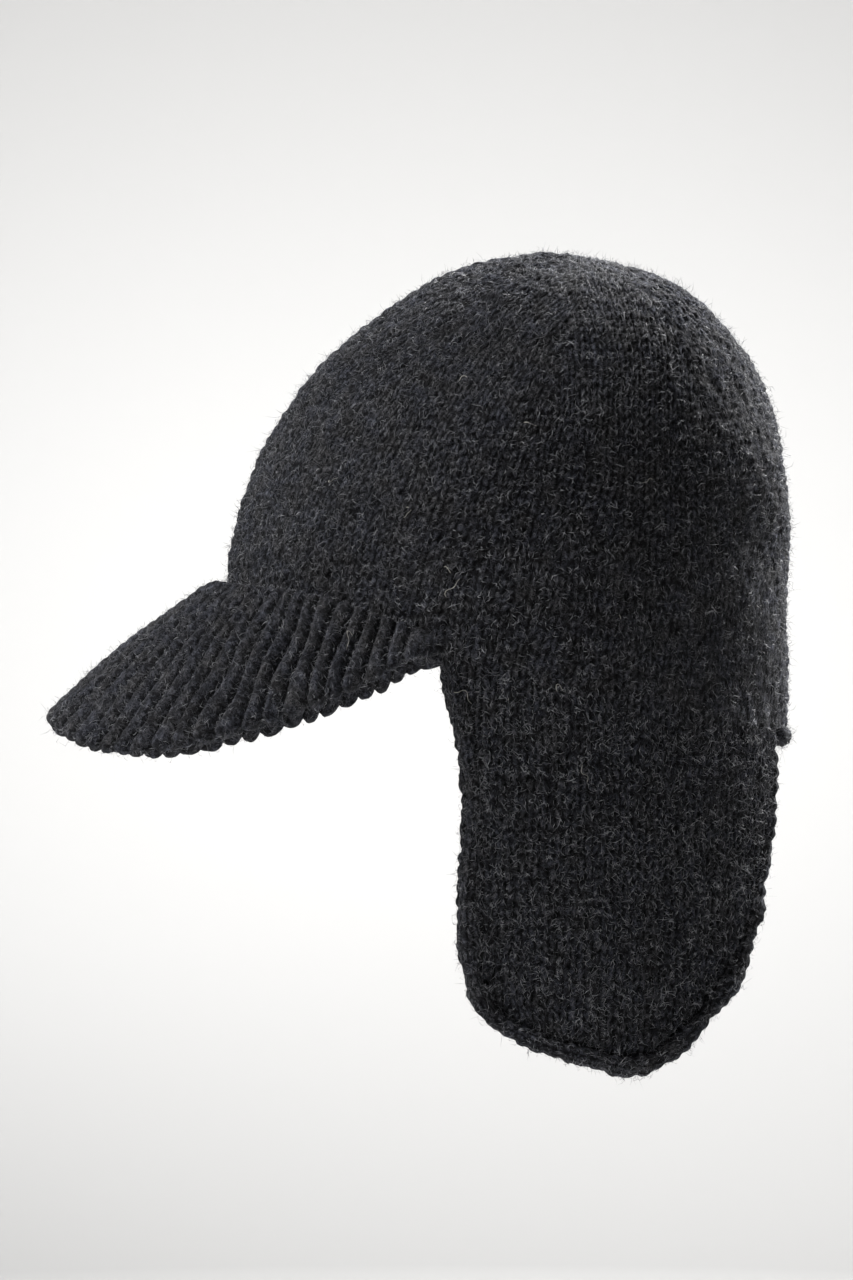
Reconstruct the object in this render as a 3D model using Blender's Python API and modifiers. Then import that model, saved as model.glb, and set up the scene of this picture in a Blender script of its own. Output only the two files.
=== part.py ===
"""Knit cap with a ribbed visor and two hanging ear flaps, kept in the form that a head gives it.

The frame has +Z up, the visor toward -Y and the wearer's left side at +X.
The origin is the middle of the head opening, level with the two corners where visor and flaps meet.
A turn is the angle round the head in radians: 0 at the brow, a quarter turn at the left ear, pi at the nape.
"""

import math
from collections import namedtuple

import bmesh
import bpy
from mathutils import Vector

# Crown, in metres
CROWN_LENGTH = 0.210
CROWN_WIDTH = 0.168
CROWN_RISE = 0.1505
WALL_RISE = 0.033
TOP_SETBACK = 0.019
KNIT_WALL = 0.004

# Shallow gathers that run from the top of the crown down its dome
GATHERS = 8
GATHER_DEPTH = 0.0012
GATHER_START = math.radians(40.0)

# Rim of the crown: it rises over the brow and drops toward the nape
CORNER_TURN = math.radians(75.0)
BROW_RISE = 0.021
NAPE_DROP = 0.028
NAPE_TURN = math.radians(128.0)

# Visor, a doubled ribbed peak
VISOR_REACH = 0.064
VISOR_DROP = 0.047
VISOR_THICKNESS = 0.007
VISOR_RIBS = 46
RIB_HEIGHT = 0.0010
VISOR_END_CLEARANCE = 0.0025

# Ear flaps, with a rolled band round their free edge
FLAP_DROP = 0.152
FLAP_FRONT_TURN = math.radians(79.0)
FLAP_REAR_TURN = math.radians(162.0)
FLAP_LEAN = 0.010
FLAP_WALL = 0.004
BAND_DIAMETER = 0.006

# Rolled hem across the nape, between the flaps
HEM_DIAMETER = 0.006

# Space left between neighbouring pieces
SEAM_GAP = 0.0003

# Shape exponents, without unit
SETBACK_POWER = 1.2
BROW_POWER = 2.6
NAPE_POWER = 1.3
VISOR_SAG_POWER = 1.3
LEAN_POWER = 1.5
FRONT_TAPER = 0.05
SIDE_FULLNESS = 2.4
FRONT_FULLNESS = 2.06

# Mesh fineness
CROWN_STRETCHES = (12, 12, 4)
CROWN_WALL_ROWS = 4
CROWN_DOME_ROWS = 10
COLUMNS_PER_RIB = 4
VISOR_FACE_ROWS = 4
VISOR_TIP_ROWS = 3
FLAP_EDGE_STEPS = 40
FLAP_ROWS = 6
HEM_POINTS = 13
ROUND_RESOLUTION = 2

# Visor sections from the brow to a corner: turn is a share of the visor's own half turn,
# reach and drop are shares of VISOR_REACH and VISOR_DROP, thickness of VISOR_THICKNESS
VisorSection = namedtuple("VisorSection", "turn reach drop thickness")
VISOR_SECTIONS = (
    VisorSection(turn=0.00, reach=1.00, drop=1.00, thickness=1.00),
    VisorSection(turn=0.18, reach=0.96, drop=1.12, thickness=1.00),
    VisorSection(turn=0.36, reach=0.84, drop=1.23, thickness=1.00),
    VisorSection(turn=0.56, reach=0.61, drop=1.06, thickness=1.00),
    VisorSection(turn=0.75, reach=0.35, drop=0.73, thickness=1.00),
    VisorSection(turn=0.90, reach=0.19, drop=0.37, thickness=0.95),
    VisorSection(turn=1.00, reach=0.10, drop=0.10, thickness=0.80),
)

# Free edge of a flap from its front corner round the bottom to the nape: along runs from -1 at the
# front edge to 1 at the rear edge, depth is a share of FLAP_DROP below the corner
EdgePoint = namedtuple("EdgePoint", "along depth")
FLAP_EDGE = (
    EdgePoint(along=-0.97, depth=0.28),
    EdgePoint(along=-0.97, depth=0.45),
    EdgePoint(along=-0.99, depth=0.62),
    EdgePoint(along=-0.96, depth=0.77),
    EdgePoint(along=-0.83, depth=0.87),
    EdgePoint(along=-0.56, depth=0.935),
    EdgePoint(along=-0.24, depth=0.975),
    EdgePoint(along=0.03, depth=1.00),
    EdgePoint(along=0.28, depth=0.97),
    EdgePoint(along=0.52, depth=0.88),
    EdgePoint(along=0.75, depth=0.75),
    EdgePoint(along=0.87, depth=0.61),
    EdgePoint(along=0.96, depth=0.47),
    EdgePoint(along=1.00, depth=0.34),
)


# Small helpers for shapes


def smooth_between(before, start, end, after, share):
    """Catmull-Rom value between start and end."""
    slope_start = (end - before) / 2
    slope_end = (after - start) / 2
    square = share * share
    cube = square * share
    value = (2 * cube - 3 * square + 1) * start + (cube - 2 * square + share) * slope_start
    return value + (3 * square - 2 * cube) * end + (cube - square) * slope_end


def visor_section(turn_share):
    """Reach, drop and thickness of the visor at a share of its half turn."""
    rows = VISOR_SECTIONS
    index = 0
    while index < len(rows) - 2 and turn_share > rows[index + 1].turn:
        index += 1
    before = rows[max(index - 1, 0)]
    start = rows[index]
    end = rows[index + 1]
    after = rows[min(index + 2, len(rows) - 1)]
    if index == 0:
        # The visor is symmetric, so the row before the brow is the mirrored row after it
        before = rows[1]
    share = (turn_share - start.turn) / (end.turn - start.turn)
    reach = smooth_between(before.reach, start.reach, end.reach, after.reach, share)
    drop = smooth_between(before.drop, start.drop, end.drop, after.drop, share)
    thickness = start.thickness + (end.thickness - start.thickness) * share
    return reach * VISOR_REACH, drop * VISOR_DROP, thickness * VISOR_THICKNESS


def curve_through(points, share):
    """Point on the smooth curve through a list of pairs, share running from 0 to 1."""
    place = share * (len(points) - 1)
    index = min(int(place), len(points) - 2)
    before = points[max(index - 1, 0)]
    start = points[index]
    end = points[index + 1]
    after = points[min(index + 2, len(points) - 1)]
    local = place - index
    first = smooth_between(before[0], start[0], end[0], after[0], local)
    second = smooth_between(before[1], start[1], end[1], after[1], local)
    return first, second


# The surface that the whole cap follows


def oval(turn):
    """Outer section of the crown's wall in plan, slightly narrower toward the brow."""
    taper = 1.0 - FRONT_TAPER * math.cos(turn)
    x = taper * CROWN_WIDTH / 2 * math.sin(turn)
    y = -CROWN_LENGTH / 2 * math.cos(turn)
    return x, y


def outward(turn):
    """Level unit vector pointing out of the oval."""
    step = 1e-4
    ahead = oval(turn + step)
    behind = oval(turn - step)
    along = Vector((ahead[0] - behind[0], ahead[1] - behind[1], 0.0))
    return Vector((along.y, -along.x, 0.0)).normalized()


def length_per_turn(turn):
    """Metres along the oval for each radian of turn."""
    step = 1e-4
    ahead = oval(turn + step)
    behind = oval(turn - step)
    return math.hypot(ahead[0] - behind[0], ahead[1] - behind[1]) / (2 * step)


def rim_height(turn):
    """Lower edge of the crown's wall, the same on both sides."""
    turn = min(abs(turn), 2 * math.pi - abs(turn))
    if turn <= CORNER_TURN:
        return BROW_RISE * (1.0 - (turn / CORNER_TURN) ** BROW_POWER)
    share = min((turn - CORNER_TURN) / (NAPE_TURN - CORNER_TURN), 1.0)
    return -NAPE_DROP * (1.0 - (1.0 - share) ** NAPE_POWER)


def gather_dip(turn, rise):
    """How far the gathers draw the dome in."""
    share = max((rise - GATHER_START) / (math.pi / 2 - GATHER_START), 0.0)
    return GATHER_DEPTH * math.sin(math.pi * share) * (1.0 + math.cos(GATHERS * turn)) / 2


def dome_point(turn, rise):
    """Outer surface above the upright wall, rise running from 0 at the wall to a quarter turn on top."""
    x, y = oval(turn)
    lift = math.sin(rise)
    across = max(1.0 - lift ** SIDE_FULLNESS, 0.0) ** (1.0 / SIDE_FULLNESS)
    along = max(1.0 - lift ** FRONT_FULLNESS, 0.0) ** (1.0 / FRONT_FULLNESS)
    setback = TOP_SETBACK * lift ** SETBACK_POWER
    height = WALL_RISE + lift * (CROWN_RISE - WALL_RISE)
    return Vector((x * across, y * along + setback, height - gather_dip(turn, rise)))


def skirt_point(turn, height, inset=0.0):
    """The wall carried on below the rim, leaning in toward the neck; inset goes in from its outer face."""
    x, y = oval(turn)
    depth = max(rim_height(turn) - height, 0.0) / FLAP_DROP
    lean = FLAP_LEAN * depth ** LEAN_POWER * math.sin(abs(turn))
    point = Vector((x - math.copysign(lean, x), y, height))
    return point - outward(turn) * inset


# Building blocks


def wrap_grid(name, columns, rows, place):
    """A grid whose points are put by place(column, row), with coinciding points welded."""
    mesh = bpy.data.meshes.new(name)
    grid = bmesh.new()
    bmesh.ops.create_grid(grid, x_segments=columns, y_segments=rows, size=0.5)
    for vertex in grid.verts:
        column = round((vertex.co.x + 0.5) * columns)
        row = round((vertex.co.y + 0.5) * rows)
        vertex.co = place(column, row)
    bmesh.ops.remove_doubles(grid, verts=grid.verts, dist=1e-6)
    grid.to_mesh(mesh)
    grid.free()
    return mesh


def close_ends(mesh):
    """Caps the open ends of a tube-like mesh and turns all faces out."""
    shell = bmesh.new()
    shell.from_mesh(mesh)
    open_edges = [edge for edge in shell.edges if edge.is_boundary]
    bmesh.ops.holes_fill(shell, edges=open_edges, sides=0)
    bmesh.ops.recalc_face_normals(shell, faces=shell.faces)
    shell.to_mesh(mesh)
    shell.free()


def wool(name, colour, roughness):
    """Matt wool finish."""
    material = bpy.data.materials.new(name)
    material.use_nodes = True
    shader = material.node_tree.nodes["Principled BSDF"]
    shader.inputs["Base Color"].default_value = (*colour, 1.0)
    shader.inputs["Roughness"].default_value = roughness
    shader.inputs["Metallic"].default_value = 0.0
    return material


def add_piece(name, data, material, collection):
    """Puts mesh or curve data in the scene as a named piece."""
    piece = bpy.data.objects.new(name, data)
    data.materials.append(material)
    collection.objects.link(piece)
    return piece


def thicken(piece, thickness):
    """Gives an open outer face its wall, measured inward."""
    solidify = piece.modifiers.new("wall", "SOLIDIFY")
    solidify.thickness = thickness
    solidify.offset = -1.0
    solidify.use_even_offset = True


def rolled_edge(name, points, diameter):
    """A round roll along a line of points."""
    curve = bpy.data.curves.new(name, "CURVE")
    curve.dimensions = "3D"
    curve.bevel_depth = diameter / 2
    curve.bevel_resolution = ROUND_RESOLUTION
    curve.use_fill_caps = True
    curve.twist_mode = "MINIMUM"
    spline = curve.splines.new("POLY")
    spline.points.add(len(points) - 1)
    for spline_point, point in zip(spline.points, points):
        spline_point.co = (*point, 1.0)
    return curve


# Crown


def crown_turns():
    """Turns of the crown's columns, with one on each corner and one on each flap's rear edge."""
    marks = (0.0, CORNER_TURN, FLAP_REAR_TURN, math.pi)
    half = [0.0]
    for start, end, count in zip(marks, marks[1:], CROWN_STRETCHES):
        half += [start + (end - start) * step / count for step in range(1, count + 1)]
    other_half = [2 * math.pi - turn for turn in reversed(half[:-1])]
    return half + other_half


def build_crown(material, collection):
    """Hollow dome, open below."""
    turns = crown_turns()

    def place(column, row):
        turn = turns[column]
        if row <= CROWN_WALL_ROWS:
            bottom = rim_height(turn)
            height = bottom + (WALL_RISE - bottom) * row / CROWN_WALL_ROWS
            return Vector((*oval(turn), height))
        rise = math.pi / 2 * (row - CROWN_WALL_ROWS) / CROWN_DOME_ROWS
        if row == CROWN_WALL_ROWS + CROWN_DOME_ROWS:
            turn = 0.0
        return dome_point(turn, rise)

    mesh = wrap_grid("crown", len(turns) - 1, CROWN_WALL_ROWS + CROWN_DOME_ROWS, place)
    piece = add_piece("crown", mesh, material, collection)
    thicken(piece, KNIT_WALL)
    mesh.shade_smooth()
    return piece


# Visor


def visor_half_turn():
    """The visor ends just short of the corner where the flap begins."""
    return CORNER_TURN - VISOR_END_CLEARANCE / length_per_turn(CORNER_TURN)


def visor_outline(turn):
    """Closed section of the visor in its own upright plane: pairs of distance out and height."""
    half_turn = visor_half_turn()
    reach, drop, thickness = visor_section(abs(turn) / half_turn)
    wave = math.cos(VISOR_RIBS * math.pi * turn / half_turn)
    middle_height = rim_height(turn) + thickness / 2

    def middle(share):
        return Vector((SEAM_GAP + reach * share, middle_height - drop * share ** VISOR_SAG_POWER))

    def across(share):
        slope = Vector((reach, -drop * VISOR_SAG_POWER * share ** (VISOR_SAG_POWER - 1.0)))
        slope.normalize()
        return Vector((-slope.y, slope.x))

    def half_thickness(share):
        ribbed = min(share * VISOR_FACE_ROWS, 1.0)
        return thickness / 2 + ribbed * RIB_HEIGHT / 2 * wave

    shares = [row / VISOR_FACE_ROWS for row in range(VISOR_FACE_ROWS + 1)]
    top = [middle(share) + across(share) * half_thickness(share) for share in shares]
    bottom = [middle(share) - across(share) * half_thickness(share) for share in shares]
    up = across(1.0)
    ahead = Vector((up.y, -up.x))
    tip = []
    for step in range(1, VISOR_TIP_ROWS):
        swing = math.pi * step / VISOR_TIP_ROWS
        tip.append(middle(1.0) + (up * math.cos(swing) + ahead * math.sin(swing)) * half_thickness(1.0))
    return top + tip + bottom[::-1]


def build_visor(material, collection):
    """Doubled ribbed peak bent round the brow, its root against the crown's wall."""
    half_turn = visor_half_turn()
    columns = VISOR_RIBS * COLUMNS_PER_RIB
    turns = [half_turn * (2 * column / columns - 1.0) for column in range(columns + 1)]
    outlines = [visor_outline(turn) for turn in turns]
    loop = len(outlines[0])

    def place(column, row):
        out, height = outlines[column][row % loop]
        turn = turns[column]
        return Vector((*oval(turn), height)) + outward(turn) * out

    mesh = wrap_grid("visor", columns, loop, place)
    close_ends(mesh)
    return add_piece("visor", mesh, material, collection)


# Ear flaps


def flap_edge_points(count):
    """Free edge of the left flap as pairs of turn and height, from the corner to the nape."""
    front = -math.cos(FLAP_FRONT_TURN)
    rear = -math.cos(FLAP_REAR_TURN)
    middle = (front + rear) / 2
    half_width = (rear - front) / 2
    knots = [(CORNER_TURN, rim_height(CORNER_TURN))]
    for point in FLAP_EDGE:
        turn = math.acos(-(middle + point.along * half_width))
        knots.append((turn, -point.depth * FLAP_DROP))
    knots.append((FLAP_REAR_TURN, rim_height(FLAP_REAR_TURN)))
    fine_count = 4 * count
    fine = [curve_through(knots, step / fine_count) for step in range(fine_count + 1)]
    return evenly_spaced(fine, count)


def evenly_spaced(pairs, count):
    """Resamples a line of turn and height pairs to equal steps on the cloth."""
    travelled = [0.0]
    for start, end in zip(pairs, pairs[1:]):
        across = (end[0] - start[0]) * length_per_turn((start[0] + end[0]) / 2)
        travelled.append(travelled[-1] + math.hypot(across, end[1] - start[1]))
    result = []
    index = 0
    for step in range(count + 1):
        target = travelled[-1] * step / count
        while index < len(pairs) - 2 and travelled[index + 1] < target:
            index += 1
        share = (target - travelled[index]) / (travelled[index + 1] - travelled[index])
        start = pairs[index]
        end = pairs[index + 1]
        result.append((start[0] + (end[0] - start[0]) * share, start[1] + (end[1] - start[1]) * share))
    return result


def inset_line(pairs, distance):
    """Moves a line of turn and height pairs inward on the cloth."""
    result = []
    for index, (turn, height) in enumerate(pairs):
        before = pairs[max(index - 1, 0)]
        after = pairs[min(index + 1, len(pairs) - 1)]
        scale = length_per_turn(turn)
        along = Vector(((after[0] - before[0]) * scale, after[1] - before[1])).normalized()
        result.append((turn - along.y * distance / scale, height + along.x * distance))
    return result


def reach_rim(start, next_pair, end_radius):
    """Carries a line on from its first pair up to the rim, low enough for a tilted end that wide."""
    scale = length_per_turn(start[0])
    across = (start[0] - next_pair[0]) * scale
    rise = start[1] - next_pair[1]
    tilt = abs(across) / math.hypot(across, rise)
    reach = end_radius / scale
    lowest_rim = min(rim_height(start[0] - reach), rim_height(start[0] + reach))
    ceiling = lowest_rim - SEAM_GAP - end_radius * tilt
    climb = ceiling - start[1]
    return start[0] + across / rise * climb / scale, ceiling


def line_inside_edge(distance, end_radius):
    """Line at a distance inside the left flap's free edge, from the corner to the nape."""
    line = inset_line(flap_edge_points(FLAP_EDGE_STEPS), distance)
    line = [(turn, height) for turn, height in line if height < rim_height(turn) - BAND_DIAMETER]
    first = reach_rim(line[0], line[1], end_radius)
    last = reach_rim(line[-1], line[-2], end_radius)
    return [first] + line + [last]


def build_flap(side, sign, material, collection):
    """Curved sheet hanging from the crown's rim, inside its rolled band."""
    edge = line_inside_edge(BAND_DIAMETER + SEAM_GAP, 0.0)
    columns = len(edge) - 1
    first_turn = edge[0][0]
    last_turn = edge[-1][0]

    def place(column, row):
        top_turn = first_turn + (last_turn - first_turn) * column / columns
        top_height = rim_height(top_turn) - SEAM_GAP
        low_turn, low_height = edge[column]
        down = row / FLAP_ROWS
        turn = top_turn + (low_turn - top_turn) * down
        height = top_height + (low_height - top_height) * down
        height = min(height, rim_height(turn) - SEAM_GAP)
        point = skirt_point(turn, height)
        return Vector((point.x * sign, point.y, point.z))

    name = "ear_flap_" + side
    mesh = wrap_grid(name, columns, FLAP_ROWS, place)
    flip_if_facing_in(mesh)
    piece = add_piece(name, mesh, material, collection)
    thicken(piece, FLAP_WALL)
    return piece


def flip_if_facing_in(mesh):
    """Turns an open sheet so that its faces look away from the head."""
    shell = bmesh.new()
    shell.from_mesh(mesh)
    facing = sum(face.normal.x * face.calc_center_median().x for face in shell.faces)
    if facing < 0:
        bmesh.ops.reverse_faces(shell, faces=shell.faces)
    shell.to_mesh(mesh)
    shell.free()


def build_band(side, sign, material, collection):
    """Rolled band round the free edge of a flap."""
    points = []
    for turn, height in line_inside_edge(BAND_DIAMETER / 2, BAND_DIAMETER / 2):
        point = skirt_point(turn, height, FLAP_WALL / 2)
        points.append((point.x * sign, point.y, point.z))
    curve = rolled_edge("flap_band_" + side, points, BAND_DIAMETER)
    return add_piece("flap_band_" + side, curve, material, collection)


# Hem across the nape


def build_hem(material, collection):
    """Rolled hem under the crown's rim, from one flap band to the other."""
    radius = HEM_DIAMETER / 2
    first = FLAP_REAR_TURN + SEAM_GAP / length_per_turn(FLAP_REAR_TURN)
    last = 2 * math.pi - first
    points = []
    for step in range(HEM_POINTS):
        turn = first + (last - first) * step / (HEM_POINTS - 1)
        height = rim_height(turn) - SEAM_GAP - radius
        point = Vector((*oval(turn), height)) - outward(turn) * KNIT_WALL / 2
        points.append(tuple(point))
    curve = rolled_edge("nape_hem", points, HEM_DIAMETER)
    return add_piece("nape_hem", curve, material, collection)


def build_cap():
    """The whole cap in a collection of its own."""
    for item in list(bpy.data.objects):
        bpy.data.objects.remove(item, do_unlink=True)
    collection = bpy.data.collections.new("earmuff_knit_cap")
    bpy.context.scene.collection.children.link(collection)
    crown_wool = wool("crown_wool", (0.060, 0.062, 0.068), 0.95)
    visor_wool = wool("visor_wool", (0.055, 0.057, 0.063), 0.95)
    flap_wool = wool("flap_wool", (0.045, 0.047, 0.053), 0.95)
    edge_wool = wool("edge_wool", (0.040, 0.042, 0.048), 0.95)
    build_crown(crown_wool, collection)
    build_visor(visor_wool, collection)
    for side, sign in (("left", 1), ("right", -1)):
        build_flap(side, sign, flap_wool, collection)
        build_band(side, sign, edge_wool, collection)
    build_hem(edge_wool, collection)


build_cap()
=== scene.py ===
"""Looks of a charcoal wool cap with a ribbed visor and two ear flaps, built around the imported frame.

The frame has +Z up, the visor toward -Y and the wearer's left side at +X, in metres.
A turn is the angle round the head: 0 at the brow, a quarter turn at the left ear, pi at the nape.
Every knitted face carries stitch coordinates: u counts wales, v counts courses.
"""

import math
from collections import namedtuple

import bpy
import numpy as np
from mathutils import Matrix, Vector


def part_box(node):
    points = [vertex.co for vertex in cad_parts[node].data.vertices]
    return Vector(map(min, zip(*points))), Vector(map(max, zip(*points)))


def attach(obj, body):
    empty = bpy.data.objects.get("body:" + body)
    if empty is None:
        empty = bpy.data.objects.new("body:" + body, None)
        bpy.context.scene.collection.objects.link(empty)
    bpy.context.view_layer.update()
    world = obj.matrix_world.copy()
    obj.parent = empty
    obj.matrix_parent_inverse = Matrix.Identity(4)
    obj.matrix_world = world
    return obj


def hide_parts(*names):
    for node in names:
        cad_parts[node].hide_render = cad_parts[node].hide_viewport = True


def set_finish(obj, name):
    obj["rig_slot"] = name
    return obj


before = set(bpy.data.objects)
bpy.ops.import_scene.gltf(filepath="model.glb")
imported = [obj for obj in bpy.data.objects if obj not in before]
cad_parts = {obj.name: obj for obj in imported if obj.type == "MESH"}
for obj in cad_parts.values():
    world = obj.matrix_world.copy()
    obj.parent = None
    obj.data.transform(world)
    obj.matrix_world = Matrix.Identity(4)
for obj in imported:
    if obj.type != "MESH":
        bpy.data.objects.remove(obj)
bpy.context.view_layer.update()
crown_low, crown_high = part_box("crown")
band_low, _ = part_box("flap_band_left")

# Crown, the same forms as the solids
CROWN_LENGTH = -2 * crown_low.y
CROWN_WIDTH = 0.168
CROWN_RISE = crown_high.z
NAPE_DROP = -crown_low.z
WALL_RISE = 0.033
TOP_SETBACK = 0.019
KNIT_WALL = 0.004
GATHERS = 8
GATHER_DEPTH = 0.0012
GATHER_START = math.radians(40.0)
CORNER_TURN = math.radians(75.0)
BROW_RISE = 0.021
NAPE_TURN = math.radians(128.0)

# Visor
VISOR_REACH = 0.064
VISOR_DROP = 0.047
VISOR_THICKNESS = 0.007
VISOR_RIBS = 46
VISOR_END_CLEARANCE = 0.0025

# Ear flaps and rolled edges
FLAP_DROP = -band_low.z
FLAP_FRONT_TURN = math.radians(79.0)
FLAP_REAR_TURN = math.radians(162.0)
FLAP_LEAN = 0.010
FLAP_WALL = 0.004
BAND_DIAMETER = 0.006
HEM_DIAMETER = 0.006

# Shape exponents of the solids, without unit
SETBACK_POWER = 1.2
BROW_POWER = 2.6
NAPE_POWER = 1.3
VISOR_SAG_POWER = 1.3
LEAN_POWER = 1.5
FRONT_TAPER = 0.05
SIDE_FULLNESS = 2.4
FRONT_FULLNESS = 2.06

# Visor sections from the brow to a corner, lengths as shares of the visor's reach, drop and thickness
VisorSection = namedtuple("VisorSection", "turn reach drop thickness")
VISOR_SECTIONS = (
    VisorSection(turn=0.00, reach=1.00, drop=1.00, thickness=1.00),
    VisorSection(turn=0.18, reach=0.96, drop=1.12, thickness=1.00),
    VisorSection(turn=0.36, reach=0.84, drop=1.23, thickness=1.00),
    VisorSection(turn=0.56, reach=0.61, drop=1.06, thickness=1.00),
    VisorSection(turn=0.75, reach=0.35, drop=0.73, thickness=1.00),
    VisorSection(turn=0.90, reach=0.19, drop=0.37, thickness=0.95),
    VisorSection(turn=1.00, reach=0.10, drop=0.10, thickness=0.80),
)

# Free edge of a flap: along runs from -1 at its front edge to 1 at its rear edge,
# and depth is a share of its drop
EdgePoint = namedtuple("EdgePoint", "along depth")
FLAP_EDGE = (
    EdgePoint(along=-0.97, depth=0.28),
    EdgePoint(along=-0.97, depth=0.45),
    EdgePoint(along=-0.99, depth=0.62),
    EdgePoint(along=-0.96, depth=0.77),
    EdgePoint(along=-0.83, depth=0.87),
    EdgePoint(along=-0.56, depth=0.935),
    EdgePoint(along=-0.24, depth=0.975),
    EdgePoint(along=0.03, depth=1.00),
    EdgePoint(along=0.28, depth=0.97),
    EdgePoint(along=0.52, depth=0.88),
    EdgePoint(along=0.75, depth=0.75),
    EdgePoint(along=0.87, depth=0.61),
    EdgePoint(along=0.96, depth=0.47),
    EdgePoint(along=1.00, depth=0.34),
)

# Knitting: wales run up the cap, courses run round it
WALES = 128
SECTORS = 8
COURSE = 0.0045
STITCH_DEPTH = 0.0018
FACE_LIFT = 0.0001
DECREASE_RING = 0.86

# Form of a V stitch, in shares of its wale, course and depth
LEG_SLOPE = 1.7
LEG_PLACE = 0.25
LEG_HALF_WIDTH = 0.27
LEG_SWELL = (0.45, 1.00)
LEG_HEIGHTS = (0.70, 1.20)
HALF_SALT = 0.37

# Unevenness: constants of a sine hash, and layers of waves with a strength, a size in metres and a seed
Layer = namedtuple("Layer", "strength size seed")
HASH_WAVES = (12.9898, 78.233)
HASH_HEIGHT = 43758.5453
LUMP_WAVES = 9
LUMP_PITCHES = (0.7, 1.4)
LUMP_PHASES = (0.0, 6.3)
WALE_DRIFT = (Layer(strength=0.13, size=0.035, seed=5), Layer(strength=0.065, size=0.011, seed=15))
COURSE_DRIFT = (Layer(strength=0.18, size=0.045, seed=7), Layer(strength=0.09, size=0.012, seed=17))
SOFT_LUMPS = (Layer(strength=0.0006, size=0.060, seed=6), Layer(strength=0.00024, size=0.009, seed=16))
INNER_LUMPS = (Layer(strength=0.0005, size=0.020, seed=9),)
RIB_DRIFT = (Layer(strength=0.16, size=0.030, seed=21),)
VISOR_LUMPS = (Layer(strength=0.0005, size=0.050, seed=22),)
BAND_WOBBLE = (Layer(strength=1.0, size=0.018, seed=41), Layer(strength=0.6, size=0.007, seed=42))
HEM_WOBBLE = (Layer(strength=1.0, size=0.018, seed=51), Layer(strength=0.6, size=0.007, seed=52))

# The wales of the crown gather at a point beside its top, in shares of the dome's disk
POLE_SIDE = 0.15
POLE_BACK = 0.075
WALL_SKEW = 0.075
POLE_HOLE = 0.012

# Ribs of the visor: depths in metres, places as shares of its reach or of a rib
RIB_DEPTH = 0.0030
RIB_LIFT = 0.0002
RIB_HALF_WIDTH = 0.46
RIB_SQUARENESS = 2.4
RIB_LEG_SLOPE = 1.1 * LEG_SLOPE
RIB_STITCH = 0.20
RIB_STITCH_HEIGHTS = (0.6, 1.4)
RIB_HEIGHTS = (0.9, 1.1)
RIB_SALTS = (3.0, 7.0)
RIB_FULL_AT = 1.0 / 9.0
RIB_FADE_AT_ROOT = (0.25, 1.0)
RIB_FULL_BEFORE_END = 1.0 / 14.0
RIB_FADE_AT_END = (0.3, 1.0)
TIP_WALK = 1.57

# Root and ends of the visor
VISOR_PUFF = 0.0010
PUFF_PLACE = 0.12
PUFF_WIDTH = 0.12
ROOT_SINK = 0.0036
ROOT_SHARE = 0.07
ROOT_TUCK = 0.6
VISOR_RUN_OUT = math.radians(4.0)
RUN_OUT_OUTSET = 0.003
RUN_OUT_THINNING = 0.5

# Corners of a flap as shares of its edge, and the groove and curl beside its band
FLAP_FRONT_CORNER = 0.41
FLAP_REAR_CORNER = 0.66
FLAP_MIDDLE_TURN = math.radians(115.0)
FLAP_EDGE_INSET = 0.0044
FLAP_INNER_GAIN = 0.0008
GROOVE_PLACE = 0.0064
GROOVE_WIDTH = 0.0026
GROOVE_DEPTH = 0.0034
GROOVE_SHARES = (0.25, 1.0)
EDGE_CURL = 0.0034
CURL_REACH = 0.012
LOW_START = 0.45
LOW_SPAN = 0.35

# Rolled edges
BAND_SINK = 0.0012
BAND_DROP = 0.0008
BAND_RUN_IN = 0.005
BAND_SWELL = 0.0010
BAND_CURL = 0.8
HEM_LIFT = 0.0006
ROLL_WALES = 5.0
ROLL_DRIFT = 0.2
ROLL_RELIEF = 0.0009
ROLL_RELIEF_MIDDLE = 0.9
ROLL_WOBBLE = 0.0005
ROLL_END = 0.35
SCALLOP_HEIGHT = 0.0007
SCALLOP_COURSES = 1.25

# Mesh fineness
COLUMNS_PER_WALE = 4
ROWS_PER_COURSE = 4
CROWN_WALL_ROWS = 44
COLUMN_SQUEEZE = 0.30
INNER_STEP = 4
INNER_WALL_ROWS = 10
INNER_ROWS = 34
VISOR_COLUMNS_PER_RIB = 10
VISOR_FACE_ROWS = 66
VISOR_TIP_ROWS = 14
FLAP_COLUMNS = 208
FLAP_ROWS = 220
FLAP_LINE_POINTS = 600
BAND_LINE_POINTS = 500
HEM_LINE_POINTS = 60
SMOOTHING_ROUNDS = 12
ROLL_STEP = 0.00062
ROLL_SIDES = 26

# Sampling of curves, to measure them
DOME_SAMPLES = 400
DOME_SIDES = 8
RING_SAMPLES = 97
EDGE_SAMPLES = 160
EDGE_BLOCK = 8000

# Loose fibres: how many each piece carries, and their form
FUZZ_COUNTS = {"crown": 30000, "visor": 9500, "flap": 9000, "band": 2400, "hem": 300}
FUZZ_THICKNESS = (0.000049, 0.000098)
FUZZ_LENGTHS = (0.0012, 0.0036)
LONG_FIBRE_SHARE = 0.05
LONG_FIBRE_FACTOR = 1.8
FUZZ_RISE = (0.09, 1.17)
FUZZ_TIP_RISE = (-0.2, 1.5)
FUZZ_BEND = (-0.5, 0.5)
FUZZ_ROOT_DEPTH = 0.0003
FUZZ_CLEARANCE = 0.00015
BARE_AREA = 4.0
RANDOM_SEED = 20

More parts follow.
